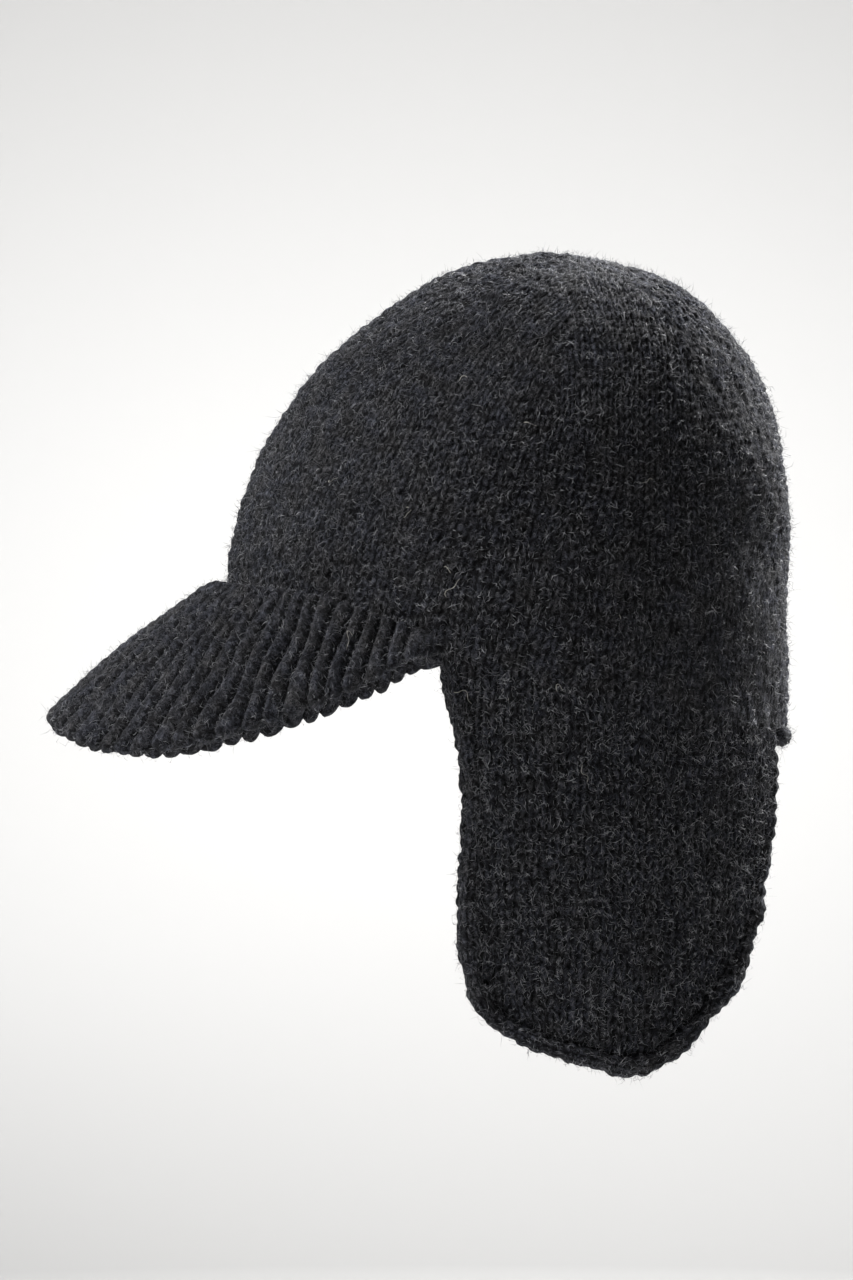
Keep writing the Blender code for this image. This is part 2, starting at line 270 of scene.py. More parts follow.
# Loose pale hairs on the wearer's left side: how far back and how high each lies, and its length
LooseHair = namedtuple("LooseHair", "back height length")
LOOSE_HAIRS = (
    LooseHair(back=-0.056, height=0.004, length=0.010),
    LooseHair(back=-0.021, height=0.026, length=0.005),
    LooseHair(back=-0.019, height=0.096, length=0.007),
    LooseHair(back=-0.039, height=0.047, length=0.006),
    LooseHair(back=-0.004, height=-0.016, length=0.008),
    LooseHair(back=0.016, height=-0.016, length=0.006),
    LooseHair(back=-0.016, height=-0.023, length=0.007),
    LooseHair(back=-0.018, height=0.024, length=0.009),
    LooseHair(back=0.015, height=-0.075, length=0.006),
    LooseHair(back=-0.014, height=-0.020, length=0.010),
    LooseHair(back=0.038, height=0.012, length=0.007),
    LooseHair(back=0.027, height=-0.048, length=0.008),
    LooseHair(back=0.050, height=0.060, length=0.006),
    LooseHair(back=-0.062, height=0.062, length=0.006),
    LooseHair(back=0.004, height=0.080, length=0.005),
)
HAIR_RADIUS = 0.00008
HAIR_STEPS = 14
HAIR_SEED = 60
HAIR_SIDE = 0.02
HAIR_FACING = 0.3
HAIR_SWING = (-2.6, 2.6)
HAIR_WAVE = 0.8
HAIR_WAVES = (4.0, 9.0)
HAIR_CLEARANCE = 0.0004
HAIR_ARCH = 0.0012
HAIR_ARCHES = (0.3, 1.0)

# Wool: colours, sheen and bump
WOOL_GREY = (0.0124, 0.0126, 0.0142)
# The flaps' yarn is the crown's, painted darker as painted shade for the weaker light that falls on the flaps
FLAP_SHADED_GREY = (0.0088, 0.0090, 0.0104)
FUZZ_GREY = (0.122, 0.124, 0.132)
HAIR_GREY = (0.26, 0.25, 0.22)
WARM_TINT = (1.04, 1.01, 0.95)
COOL_TINT = (0.96, 0.99, 1.09)
WOOL_FINISH = {"Roughness": 0.95, "Specular IOR Level": 0.05, "Sheen Weight": 0.05,
               "Sheen Roughness": 0.35, "Sheen Tint": (0.6, 0.62, 0.66, 1.0)}
BUMP = {"Strength": 0.9, "Distance": 0.0014}
FIBRE_ROUGHNESS = 0.7
FIBRE_NOISE = 240.0
FIBRE_DARK = (0.35, 0.35, 0.38)
FIBRE_PALE = (1.8, 1.8, 1.8)
FIBRE_STOPS = (0.35, 0.70)

# Noises of the wool, and the stretch of each that runs from 0 to 1
Noise = namedtuple("Noise", "scale detail roughness distortion")
WANDER_NOISE = Noise(scale=420.0, detail=3.0, roughness=0.65, distortion=0.0)
PLY_NOISE = Noise(scale=1.0, detail=4.0, roughness=0.75, distortion=1.4)
GRAIN_NOISE = Noise(scale=1500.0, detail=3.0, roughness=0.7, distortion=0.8)
LONG_CURLS = Noise(scale=300.0, detail=1.0, roughness=0.5, distortion=2.2)
SHORT_CURLS = Noise(scale=470.0, detail=1.0, roughness=0.5, distortion=1.8)
CURL_NOISE = Noise(scale=520.0, detail=1.0, roughness=0.5, distortion=0.0)
MOTTLE_NOISE = Noise(scale=240.0, detail=4.0, roughness=0.75, distortion=0.6)
BROAD_NOISE = Noise(scale=30.0, detail=3.0, roughness=0.6, distortion=0.0)
TINT_NOISE = Noise(scale=110.0, detail=2.0, roughness=0.5, distortion=0.0)
PLY_STRETCH = (0.38, 0.66)
CURL_STRETCH = (0.40, 0.60)
MOTTLE_STRETCH = (0.30, 0.70)
TINT_STRETCH = (0.35, 0.65)

# Form of the stitches in the wool's shading
WANDER = 0.50
LEG_NARROWNESS = 3.9
RIB_NARROWNESS = 2.1
RIB_POWER = 3.0
ACROSS_LEG = (4.2, -2.43)
ALONG_LEG = (2.7, 3.78)
FIBRE_FINENESS = 2.9
FIBRE_LENGTH = 0.75
WALE_SALT = 5.17
LEG_SALT = 2.71
LONG_CURL_WIDTH = 0.05
SHORT_CURL_WIDTH = 0.06
BUMP_SHARES = {"stitch": 0.50, "ply": 0.28, "grain": 0.25, "curls": 0.25}

# Brightness of the wool: each line is a slope and an offset; the gap shade values paint shade into the colour
# where a stitch stands low, between its legs
PLUMP_LINE = (0.65, 0.35)
RIB_LINE = (0.55, 0.45)
OWN_TONE_LINE = (0.8, 0.6)
PLY_LINE = (1.9, 0.07)
GAP_SHADE_EXPONENT = 1.4
GAP_SHADE_LINE = (1.55, 0.05)
MOTTLE_LINE = (1.0, 0.5)
BROAD_LINE = (0.7, 0.65)
HAIR_GAP_SHADE_LINE = (0.6, 0.4)
PALE_STRENGTH = 5.4
SHADE_FLOOR = 0.02

# Studio
LOOK_POINT = Vector((0.0, -0.030268, 0.00564))
CAMERA_DISTANCE = 1.40
CAMERA_ELEVATION = math.radians(-2.0)
LONG_SIDE = 0.48128
SENSOR = 36.0
FLOOR_HEIGHT = -0.42
STUDIO_RADIUS = 3.2
STUDIO_WALL = 3.4
STUDIO_SIDES = 96
COVE_RADIUS = 1.9
COVE_STEPS = 24
BACKDROP_GREY = (0.50, 0.497, 0.492)
BACKDROP_ROUGHNESS = 0.9
SKY_STRENGTH = 0.28
WALL_FOOT = (-3.2, 0.0, -0.4)
SoftLight = namedtuple("SoftLight", "name place power size target spread")
LIGHTS = (
    SoftLight(name="key", place=(0.22, -0.98, 1.25), power=17.5, size=0.8, target=LOOK_POINT, spread=80.0),
    SoftLight(name="rear", place=(-0.78, 0.66, 1.00), power=52.0, size=0.8, target=LOOK_POINT, spread=80.0),
    SoftLight(name="backdrop", place=(0.1, 0.0, 2.2), power=33.0, size=1.0, target=WALL_FOOT, spread=70.0),
)


# Shapes shared with the solids


def smooth_between(before, start, end, after, share):
    """Catmull-Rom value between start and end."""
    slope_start = (end - before) / 2
    slope_end = (after - start) / 2
    square = share * share
    cube = square * share
    value = (2 * cube - 3 * square + 1) * start + (cube - 2 * square + share) * slope_start
    return value + (3 * square - 2 * cube) * end + (cube - square) * slope_end


def oval(turn):
    """Outer section of the crown's wall in plan."""
    taper = 1.0 - FRONT_TAPER * np.cos(turn)
    return taper * CROWN_WIDTH / 2 * np.sin(turn), -CROWN_LENGTH / 2 * np.cos(turn)


def outward(turn):
    """Level unit vector pointing out of the oval, as two arrays."""
    step = 1e-4
    ahead_x, ahead_y = oval(turn + step)
    behind_x, behind_y = oval(turn - step)
    along_x = ahead_x - behind_x
    along_y = ahead_y - behind_y
    length = np.hypot(along_x, along_y)
    return along_y / length, -along_x / length


def length_per_turn(turn):
    """Metres along the oval for each radian of turn."""
    step = 1e-4
    ahead_x, ahead_y = oval(turn + step)
    behind_x, behind_y = oval(turn - step)
    return np.hypot(ahead_x - behind_x, ahead_y - behind_y) / (2 * step)


def rim_height(turn):
    """Lower edge of the crown's wall."""
    turn = np.abs(np.mod(np.asarray(turn) + math.pi, 2 * math.pi) - math.pi)
    brow = BROW_RISE * (1.0 - np.minimum(turn / CORNER_TURN, 1.0) ** BROW_POWER)
    share = np.clip((turn - CORNER_TURN) / (NAPE_TURN - CORNER_TURN), 0.0, 1.0)
    nape = -NAPE_DROP * (1.0 - (1.0 - share) ** NAPE_POWER)
    return np.where(turn <= CORNER_TURN, brow, nape)


def gather_dip(turn, rise):
    """How far the gathers draw the dome in."""
    share = np.clip((rise - GATHER_START) / (math.pi / 2 - GATHER_START), 0.0, 1.0)
    return GATHER_DEPTH * np.sin(math.pi * share) * (1.0 + np.cos(GATHERS * turn)) / 2


def dome_point(turn, rise):
    """Outer surface above the upright wall."""
    x, y = oval(turn)
    lift = np.sin(rise)
    across = np.maximum(1.0 - lift ** SIDE_FULLNESS, 0.0) ** (1.0 / SIDE_FULLNESS)
    along = np.maximum(1.0 - lift ** FRONT_FULLNESS, 0.0) ** (1.0 / FRONT_FULLNESS)
    setback = TOP_SETBACK * lift ** SETBACK_POWER
    height = WALL_RISE + lift * (CROWN_RISE - WALL_RISE)
    return np.stack([x * across, y * along + setback, height - gather_dip(turn, rise)], axis=-1)


def skirt_point(turn, height, inset):
    """The wall carried on below the rim, leaning in toward the neck."""
    x, y = oval(turn)
    depth = np.maximum(rim_height(turn) - height, 0.0) / FLAP_DROP
    lean = FLAP_LEAN * depth ** LEAN_POWER * np.sin(np.abs(turn))
    out_x, out_y = outward(turn)
    return np.stack([x - np.sign(x) * lean - out_x * inset, y - out_y * inset, height + 0.0 * x], axis=-1)


def crown_point(turn, climb):
    """Crown surface: climb runs from 0 at the rim past 1 where the dome starts to 2 at the wales' pole."""
    below = np.clip(1.0 - climb, 0.0, 1.0)
    skewed = turn - WALL_SKEW * below * np.sin(turn)
    x, y = oval(skewed)
    rim = rim_height(skewed)
    wall = np.stack([x, y, rim + (WALL_RISE - rim) * np.minimum(climb, 1.0)], axis=-1)
    reach = np.clip(2.0 - climb, 0.0, 1.0)
    disk_x = reach * np.sin(turn) + (1.0 - reach * reach) * POLE_SIDE
    disk_y = -reach * np.cos(turn) + (1.0 - reach * reach) * POLE_BACK
    radius = np.minimum(np.hypot(disk_x, disk_y), 1.0)
    dome = dome_point(np.arctan2(disk_x, -disk_y), math.pi / 2 * (1.0 - radius))
    return np.where((climb < 1.0)[..., None], wall, dome)


def unit_normals(place, first, second):
    """Unit normals of a surface given by two coordinates."""
    step = 2e-4
    along = place(first + step, second) - place(first - step, second)
    across = place(first, second + step) - place(first, second - step)
    normal = np.cross(along, across)
    return normal / np.maximum(np.linalg.norm(normal, axis=-1, keepdims=True), 1e-12)


# Knitted relief


def hashed(first, second):
    """Repeatable value from 0 to 1 for each pair of whole numbers."""
    mixed = np.sin(first * HASH_WAVES[0] + second * HASH_WAVES[1]) * HASH_HEIGHT
    return mixed - np.floor(mixed)


def between(limits, share):
    """Value at a share of the way between two limits."""
    return limits[0] + (limits[1] - limits[0]) * share


def lumps(points, layers):
    """Smooth irregularity, each layer with features of its size in metres."""
    total = np.zeros(points.shape[:-1])
    for layer in layers:
        draw = np.random.default_rng(layer.seed)
        waves = np.zeros(points.shape[:-1])
        for _ in range(LUMP_WAVES):
            direction = draw.normal(size=3)
            direction /= np.linalg.norm(direction)
            pitch = 2 * math.pi / layer.size * draw.uniform(*LUMP_PITCHES)
            waves += np.sin(points @ direction * pitch + draw.uniform(*LUMP_PHASES))
        total += layer.strength / math.sqrt(LUMP_WAVES) * waves
    return total


def stockinette(u, v):
    """Height from 0 to 1 of rows of V stitches."""
    wale = np.floor(u)
    aside = np.abs(u - wale - 0.5)
    course = v - LEG_SLOPE * aside
    leg = np.maximum(1.0 - ((aside - LEG_PLACE) / LEG_HALF_WIDTH) ** 2, 0.0) ** 0.5
    plump = np.sin(math.pi * (course - np.floor(course)))
    half = np.where(u - wale > 0.5, HALF_SALT, 0.0)
    own_height = between(LEG_HEIGHTS, hashed(wale + half, np.floor(course)))
    return leg * between(LEG_SWELL, plump) * own_height


def knit_offset(u, v, points):
    """Distance that the knitting stands out of the cap's smooth surface."""
    return (stockinette(u, v) - 1.0) * STITCH_DEPTH + FACE_LIFT + lumps(points, SOFT_LUMPS)


# Meshes


def build_mesh(name, vertices, quads, triangles, corner_uv):
    """Smooth-shaded mesh with stitch coordinates."""
    mesh = bpy.data.meshes.new(name)
    faces = quads.tolist() + triangles.tolist()
    mesh.from_pydata(vertices.tolist(), [], faces)
    layer = mesh.uv_layers.new(name="stitch")
    layer.data.foreach_set("uv", corner_uv.astype(np.float32).ravel())
    mesh.polygons.foreach_set("use_smooth", np.ones(len(faces), dtype=bool))
    mesh.update()
    return mesh


def grid_quads(rows, columns, start, wrap):
    """Quads of a grid of points numbered row by row from start."""
    count = columns if wrap else columns - 1
    row, column = np.meshgrid(np.arange(rows - 1), np.arange(count), indexing="ij")
    right = (column + 1) % columns
    first = start + row * columns
    second = start + (row + 1) * columns
    corners = np.stack([first + column, first + right, second + right, second + column], axis=-1)
    return corners.reshape(-1, 4)


def grid_uv(u, v):
    """Stitch coordinates of the four corners of each quad of a grid of points."""
    uv = np.stack([u, v], axis=-1)
    return np.stack([uv[:-1, :-1], uv[:-1, 1:], uv[1:, 1:], uv[1:, :-1]], axis=2).reshape(-1, 4, 2)


def face_values(mesh, field, width):
    """A field of a mesh's faces as an array with a row for each face."""
    values = np.empty(len(mesh.polygons) * width)
    mesh.polygons.foreach_get(field, values)
    return values.reshape(-1, width)


def sharpen_border(mesh, edges):
    """Marks edges sharp, so that the faces on their two sides shade apart."""
    wanted = {tuple(sorted(edge)) for edge in edges}
    attribute = mesh.attributes.new("sharp_edge", "BOOLEAN", "EDGE")
    flags = [tuple(sorted(edge.vertices)) in wanted for edge in mesh.edges]
    attribute.data.foreach_set("value", flags)


def add_piece(name, mesh, material, slot_name, node):
    """Adds a piece to the scene, in place of a node of the frame if one is named."""
    piece = bpy.data.objects.new(name, mesh)
    mesh.materials.append(material)
    bpy.context.scene.collection.objects.link(piece)
    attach(piece, "root")
    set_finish(piece, slot_name)
    if node:
        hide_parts(node)
    return piece


class Shell:
    """Gathers grids of points with stitch coordinates into one closed mesh."""

    def __init__(self):
        self.vertices = []
        self.quads = []
        self.triangles = []
        self.quad_uv = []
        self.triangle_uv = []
        self.count = 0

    def add_points(self, points):
        start = self.count
        self.vertices.append(points.reshape(-1, 3))
        self.count += points.reshape(-1, 3).shape[0]
        return start

    def add_quads(self, corners, uv):
        self.quads.append(corners.reshape(-1, 4))
        self.quad_uv.append(uv.reshape(-1, 2))

    def add_triangles(self, corners, uv):
        self.triangles.append(corners.reshape(-1, 3))
        self.triangle_uv.append(uv.reshape(-1, 2))

    def mesh(self, name):
        """One mesh of everything gathered, quads first."""
        triangles = np.concatenate(self.triangles) if self.triangles else np.zeros((0, 3), dtype=int)
        uv = np.concatenate(self.quad_uv + self.triangle_uv)
        vertices = np.concatenate(self.vertices)
        return build_mesh(name, vertices, np.concatenate(self.quads), triangles, uv)

    def add_faces(self, *corners):
        """Faces given by their corners, each as point numbers with stitch coordinates."""
        numbers = np.stack([corner[0] for corner in corners], axis=-1)
        uv = np.stack([corner[1] for corner in corners], axis=1)
        if len(corners) == 4:
            self.add_quads(numbers, uv)
        else:
            self.add_triangles(numbers, uv)

    def add_fan(self, first, second, centre, uv):
        """Triangles from each edge between first and second points to a new point at the centre."""
        middle = self.add_points(centre)
        corners = np.stack([first, second, np.full(len(first), middle)], axis=-1)
        self.add_triangles(corners, np.zeros((len(first), 3, 2)) + uv)


# Crown

Ring = namedtuple("Ring", "start turns v count narrowing drift")


def dome_courses():
    """Climb at every row above the wall, in even steps along the dome, and the length walked."""
    climbs = np.linspace(1.0, 2.0 - POLE_HOLE, DOME_SAMPLES)
    turns = 2 * math.pi * np.arange(DOME_SIDES) / DOME_SIDES
    points = crown_point(*np.meshgrid(turns, climbs))
    steps = np.linalg.norm(np.diff(points, axis=0), axis=-1).mean(axis=1)
    walked = np.concatenate([[0.0], np.cumsum(steps)])
    count = int(walked[-1] / COURSE * ROWS_PER_COURSE)
    even = np.linspace(0.0, walked[-1], count + 1)
    return np.interp(even, walked, climbs), even


def ring_length(climb):
    """Length of the level ring of the crown at a climb."""
    turns = np.linspace(0.0, 2 * math.pi, RING_SAMPLES)
    points = crown_point(turns, np.full_like(turns, climb))
    return np.linalg.norm(np.diff(points, axis=0), axis=-1).sum()


def sector_u(turn, sector, narrowing):
    """Wale count inside a sector, which loses wales at its sides as the ring narrows."""
    middle = (sector + 0.5) * 2 * math.pi / SECTORS
    return (middle + (turn - middle) * narrowing) * WALES / (2 * math.pi) + 0.5


def crown_skin(turns, climb):
    """Points and normals of a level ring of the crown's smooth surface."""
    climbs = np.full_like(turns, climb)
    return crown_point(turns, climbs), unit_normals(crown_point, turns, climbs)


def crown_ring(shell, climb, walk, count, narrowing):
    """Adds one knitted ring of the crown's outside, at a walk up the dome."""
    turns = 2 * math.pi * np.arange(count + 1) / count
    smooth, normals = crown_skin(turns, climb)
    sector = np.minimum(np.arange(count + 1) * SECTORS // count, SECTORS - 1)
    height = smooth[:, 2] - WALL_RISE if climb < 1.0 else np.full_like(turns, walk)
    v = height / COURSE + lumps(smooth, COURSE_DRIFT)
    drift = lumps(smooth, WALE_DRIFT)
    offset = knit_offset(sector_u(turns, sector, narrowing) + drift, v, smooth)
    start = shell.add_points((smooth + normals * offset[:, None])[:-1])
    return Ring(start, turns, v, count, narrowing, drift)


def build_crown(material):
    """Knitted dome with relief outside and a plain inner face."""
    shell = Shell()
    climbs, walked = dome_courses()
    wall_climbs = np.linspace(0.0, 1.0, CROWN_WALL_ROWS + 1)[:-1]
    full_ring = ring_length(1.0)
    columns = WALES * COLUMNS_PER_WALE
    full_column = full_ring / columns
    rings = []
    for climb, walk in zip(np.append(wall_climbs, climbs), np.append(0.0 * wall_climbs, walked)):
        ring = ring_length(max(climb, 1.0))
        while columns > 4 * SECTORS and ring / columns < COLUMN_SQUEEZE * full_column:
            columns //= 2
        narrowing = min(ring / (DECREASE_RING * full_ring), 1.0)
        rings.append(crown_ring(shell, climb, walk, columns, narrowing))
    for lower, upper in zip(rings, rings[1:]):
        join_rings(shell, lower, upper)
    top = rings[-1]
    column = np.arange(top.count)
    centre = crown_point(np.array([0.0]), np.array([2.0])) - np.array([0.0, 0.0, STITCH_DEPTH])
    shell.add_fan(top.start + column, top.start + (column + 1) % top.count, centre, [0.0, top.v[0]])
    add_crown_inside(shell, rings[0])
    mesh = shell.mesh("crown_knit")
    border = rings[0].start + np.arange(rings[0].count)
    sharpen_border(mesh, zip(border, np.roll(border, -1)))
    return add_piece("crown_knit", mesh, material, "crown_wool", "crown")


def ring_corner(ring, column, sector):
    """Point numbers and stitch coordinates of columns of a ring, as the given sectors count them."""
    u = sector_u(ring.turns[column], sector, ring.narrowing) + ring.drift[column]
    return ring.start + column % ring.count, np.stack([u, ring.v[column]], axis=-1)


def join_rings(shell, lower, upper):
    """Faces between two rings of the crown, where the upper one has as many or half as many points."""
    column = np.arange(upper.count)
    sector = column * SECTORS // upper.count
    share = lower.count // upper.count
    low = [ring_corner(lower, share * column + step, sector) for step in range(share + 1)]
    high = [ring_corner(upper, column + step, sector) for step in range(2)]
    if share == 1:
        shell.add_faces(low[0], low[1], high[1], high[0])
        return
    shell.add_faces(low[0], low[1], high[0])
    shell.add_faces(low[1], low[2], high[1])
    shell.add_faces(low[1], high[1], high[0])


def add_crown_inside(shell, rim):
    """Rim and inner face of the crown, with fewer columns than the outside."""
    count = rim.count // INNER_STEP
    turns = 2 * math.pi * np.arange(count + 1) / count
    walls = np.linspace(0.0, 1.0, INNER_WALL_ROWS)[:-1]
    domes = np.linspace(1.0, 2.0 - POLE_HOLE, INNER_ROWS)
    rows = []
    for climb in np.append(walls, domes):
        smooth, normals = crown_skin(turns, climb)
        rows.append((smooth + normals * (lumps(smooth, INNER_LUMPS) - KNIT_WALL)[:, None])[:-1])
    start = shell.add_points(np.stack(rows))
    u, v = np.meshgrid(np.arange(count + 1) * WALES / count, np.arange(len(rows)) * 1.0)
    shell.add_quads(grid_quads(len(rows), count, start, True)[:, ::-1], grid_uv(u, v)[:, ::-1])
    join_rim(shell, rim, start, count)
    column = np.arange(count)
    last = start + (len(rows) - 1) * count
    centre = crown_point(np.array([0.0]), np.array([2.0])) - np.array([0.0, 0.0, KNIT_WALL])
    shell.add_fan(last + (column + 1) % count, last + column, centre, 0.0)


def join_rim(shell, rim, inner_start, inner_count):
    """Lower rim of the crown, where each inner point faces several outer ones."""
    column = np.arange(inner_count)
    following = (column + 1) % inner_count
    v = np.full(inner_count, rim.v[0])
    for step in range(INNER_STEP):
        outer = INNER_STEP * column + step
        inner = column if step < INNER_STEP // 2 else following
        outer_next = (outer + 1) % rim.count
        u = outer / COLUMNS_PER_WALE
        u_next = (outer + 1) / COLUMNS_PER_WALE
        shell.add_faces((rim.start + outer, np.stack([u, v], axis=-1)),
                        (inner_start + inner, np.stack([u, v - 0.5], axis=-1)),
                        (rim.start + outer_next, np.stack([u_next, v], axis=-1)))
    uv = np.stack([1.0 * column, v], axis=-1)
    outer_middle = rim.start + INNER_STEP * column + INNER_STEP // 2
    shell.add_faces((outer_middle, uv), (inner_start + column, uv), (inner_start + following, uv))


# Visor


def visor_sizes(share):
    """Reach, drop and thickness of the visor at shares of its half turn."""
    table = dict(zip(VisorSection._fields, np.array(VISOR_SECTIONS).T))
    marks = table["turn"]
    index = np.clip(np.searchsorted(marks, share, side="left") - 1, 0, len(marks) - 2)
    local = (share - marks[index]) / (marks[index + 1] - marks[index])
    before = np.where(index == 0, 1, index - 1)
    after = np.minimum(index + 2, len(marks) - 1)
    sizes = []
    for field in ("reach", "drop"):
        values = table[field]
        sizes.append(smooth_between(values[before], values[index], values[index + 1], values[after], local))
    thickness = table["thickness"][index] * (1 - local) + table["thickness"][index + 1] * local
    return sizes[0] * VISOR_REACH, sizes[1] * VISOR_DROP, thickness * VISOR_THICKNESS


def visor_half_turn():
    """Half turn of the visor's solid."""
    return CORNER_TURN - VISOR_END_CLEARANCE / length_per_turn(CORNER_TURN)


def past_end(turn):
    """Share from 0 at the solid's end to 1 where the visor has run out in the flap's corner."""
    return np.clip((np.abs(turn) - visor_half_turn()) / VISOR_RUN_OUT, 0.0, 1.0)


def visor_walk():
    """Stations round the visor's section, as shares along it and angles round its tip."""
    top = np.linspace(0.0, 1.0, VISOR_FACE_ROWS + 1)
    swing = np.linspace(0.0, math.pi, VISOR_TIP_ROWS + 1)[1:-1]
    share = np.concatenate([top, np.ones(len(swing)), top[::-1]])
    angle = np.concatenate([np.zeros(len(top)), swing, np.full(len(top), math.pi)])
    return share, angle


def visor_point(turn, share, angle, lift):
    """Point of the visor's skin, raised by lift square to it."""
    reach, drop, thickness = visor_sizes(np.minimum(np.abs(turn) / visor_half_turn(), 1.0))
    over = past_end(turn)
    out = (reach * share + RUN_OUT_OUTSET) * (1.0 - over) - RUN_OUT_OUTSET
    drop = drop * (1.0 - over)
    thickness = thickness * (1.0 - RUN_OUT_THINNING * over)
    height = rim_height(turn) + thickness / 2 - drop * share ** VISOR_SAG_POWER
    slope = drop * VISOR_SAG_POWER * share ** (VISOR_SAG_POWER - 1.0)
    length = np.hypot(reach, slope)
    up_out = slope / length
    up_height = reach / length
    half = thickness / 2 + lift
    out = out + half * (up_out * np.cos(angle) + up_height * np.sin(angle))
    height = height + half * (up_height * np.cos(angle) - up_out * np.sin(angle))
    x, y = oval(turn)
    out_x, out_y = outward(turn)
    return np.stack([x + out_x * out, y + out_y * out, height], axis=-1)


def rib_relief(u, v):
    """Height from 0 to 1 of ribs whose ridges are columns of V stitches."""
    rib = np.floor(u)
    aside = np.abs(u - rib - 0.5)
    ridge = np.clip(1.0 - (aside / RIB_HALF_WIDTH) ** RIB_SQUARENESS, 0.0, 1.0)
    course = v - RIB_LEG_SLOPE * aside + 0.5 * hashed(rib, RIB_SALTS[0])
    plump = np.sin(math.pi * (course - np.floor(course)))
    stitch = plump * between(RIB_STITCH_HEIGHTS, hashed(rib, np.floor(course)))
    own_height = between(RIB_HEIGHTS, hashed(rib, RIB_SALTS[1]))
    return ridge * (1.0 - RIB_STITCH + RIB_STITCH * stitch) * own_height


def visor_lift(turn, share, angle, smooth, relief):
    """How far the visor's knitting stands out of its plain skin."""
    half_turn = visor_half_turn()
    topside = angle == 0.0
    ribbed = np.clip(share / RIB_FULL_AT, 0.0, 1.0)
    from_end = np.clip((half_turn - np.abs(turn)) / half_turn / RIB_FULL_BEFORE_END, 0.0, 1.0)
    puff = VISOR_PUFF * np.exp(-((share - PUFF_PLACE) / PUFF_WIDTH) ** 2) * topside
    root = (1.0 - np.sin(np.minimum(share / ROOT_SHARE, 1.0) * math.pi / 2)) * ROOT_SINK * topside
    depth = RIB_DEPTH * between(RIB_FADE_AT_ROOT, ribbed) * between(RIB_FADE_AT_END, from_end)
    return (relief - 1.0) * depth + RIB_LIFT + puff * from_end - root + lumps(smooth, VISOR_LUMPS)


def build_visor(material):
    """Ribbed doubled peak: ribs fan out from its root and end as knobs round its edge."""
    columns = VISOR_RIBS * VISOR_COLUMNS_PER_RIB
    half_turn = visor_half_turn()
    end_turn = half_turn + VISOR_RUN_OUT
    share_row, angle_row = visor_walk()
    turn, share = np.meshgrid(np.linspace(-end_turn, end_turn, columns + 1), share_row)
    angle = np.broadcast_to(angle_row[:, None], turn.shape)
    reach, drop, thickness = visor_sizes(np.minimum(np.abs(turn) / half_turn, 1.0))
    span = np.hypot(reach, drop)
    walked = span * share + np.where(angle >= math.pi, 2 * (1 - share) * span, 0.0)
    walked = walked + angle / math.pi * thickness * TIP_WALK
    smooth = visor_point(turn, share, angle, 0.0)
    u = (turn + half_turn) / (2 * half_turn) * VISOR_RIBS + lumps(smooth, RIB_DRIFT)
    v = walked / COURSE + lumps(smooth, COURSE_DRIFT)
    points = visor_point(turn, share, angle, visor_lift(turn, share, angle, smooth, rib_relief(u, v)))
    # The root goes into the crown's wall, so that no gap shows
    out_x, out_y = outward(turn)
    tuck = np.where(share == 0.0, KNIT_WALL * ROOT_TUCK, 0.0)
    points[..., 0] -= out_x * tuck
    points[..., 1] -= out_y * tuck
    shell = Shell()
    start = shell.add_points(points)
    rows = len(share_row)
    shell.add_quads(grid_quads(rows, columns + 1, start, False)[:, ::-1], grid_uv(u, v)[:, ::-1])
    close_loop(shell, start, rows, columns + 1, np.stack([u, v], axis=-1))
    return add_piece("visor_knit", shell.mesh("visor_knit"), material, "visor_wool", "visor")


def close_loop(shell, start, rows, columns, uv):
    """Back face between the last and first row, and strips of faces over both ends."""
    column = np.arange(columns - 1)
    last = start + (rows - 1) * columns
    corners = np.stack([last + column, last + column + 1, start + column + 1, start + column], axis=-1)
    back_uv = np.stack([uv[-1, :-1], uv[-1, 1:], uv[-1, 1:] + [0, 1], uv[-1, :-1] + [0, 1]], axis=1)
    shell.add_quads(corners[:, ::-1], back_uv[:, ::-1])
    for side, order in ((0, -1), (columns - 1, 1)):
        ring = start + np.arange(rows) * columns + side
        half = rows // 2
        low = ring[:half]
        high = ring[::-1][:half]
        for index in range(half - 1):
            quad = np.array([low[index], low[index + 1], high[index + 1], high[index]])[::order]
            shell.add_quads(quad, np.repeat(uv[index, side][None, :], 4, axis=0))
        if rows % 2:
            tip = np.array([low[-1], ring[half], high[-1]])[::order]
            shell.add_triangles(tip, np.repeat(uv[half, side][None, :], 3, axis=0))


# Ear flaps


def flap_edge_line(count):
    """Free edge of the left flap as turns and heights, from the corner to the nape, in even steps."""
    front = -math.cos(FLAP_FRONT_TURN)
    rear = -math.cos(FLAP_REAR_TURN)
    middle = (front + rear) / 2
    half_width = (rear - front) / 2
    turns = [CORNER_TURN]
    heights = [0.0]
    for point in FLAP_EDGE:
        turns.append(math.acos(-(middle + point.along * half_width)))
        heights.append(-point.depth * FLAP_DROP)
    turns.append(FLAP_REAR_TURN)
    heights.append(float(rim_height(FLAP_REAR_TURN)))
    knots = np.array([turns, heights])
    place = np.linspace(0.0, len(turns) - 1, 8 * count + 1)
    index = np.minimum(place.astype(int), len(turns) - 2)
    before = np.maximum(index - 1, 0)
    after = np.minimum(index + 2, len(turns) - 1)
    ends = (knots[:, before], knots[:, index], knots[:, index + 1], knots[:, after])
    return evenly_spaced(*smooth_between(*ends, place - index), count)


def evenly_spaced(turns, heights, count):
    """Resamples a line on the cloth to equal steps."""
    across = np.diff(turns) * length_per_turn((turns[1:] + turns[:-1]) / 2)
    walked = np.concatenate([[0.0], np.cumsum(np.hypot(across, np.diff(heights)))])
    even = np.linspace(0.0, walked[-1], count + 1)
    return np.interp(even, walked, turns), np.interp(even, walked, heights)


def inset_line(turns, heights, distance):
    """Moves a line on the cloth inward."""
    scale = length_per_turn(turns)
    along_x = np.gradient(turns) * scale
    along_y = np.gradient(heights)
    length = np.hypot(along_x, along_y)
    return turns - along_y / length * distance / scale, heights + along_x / length * distance


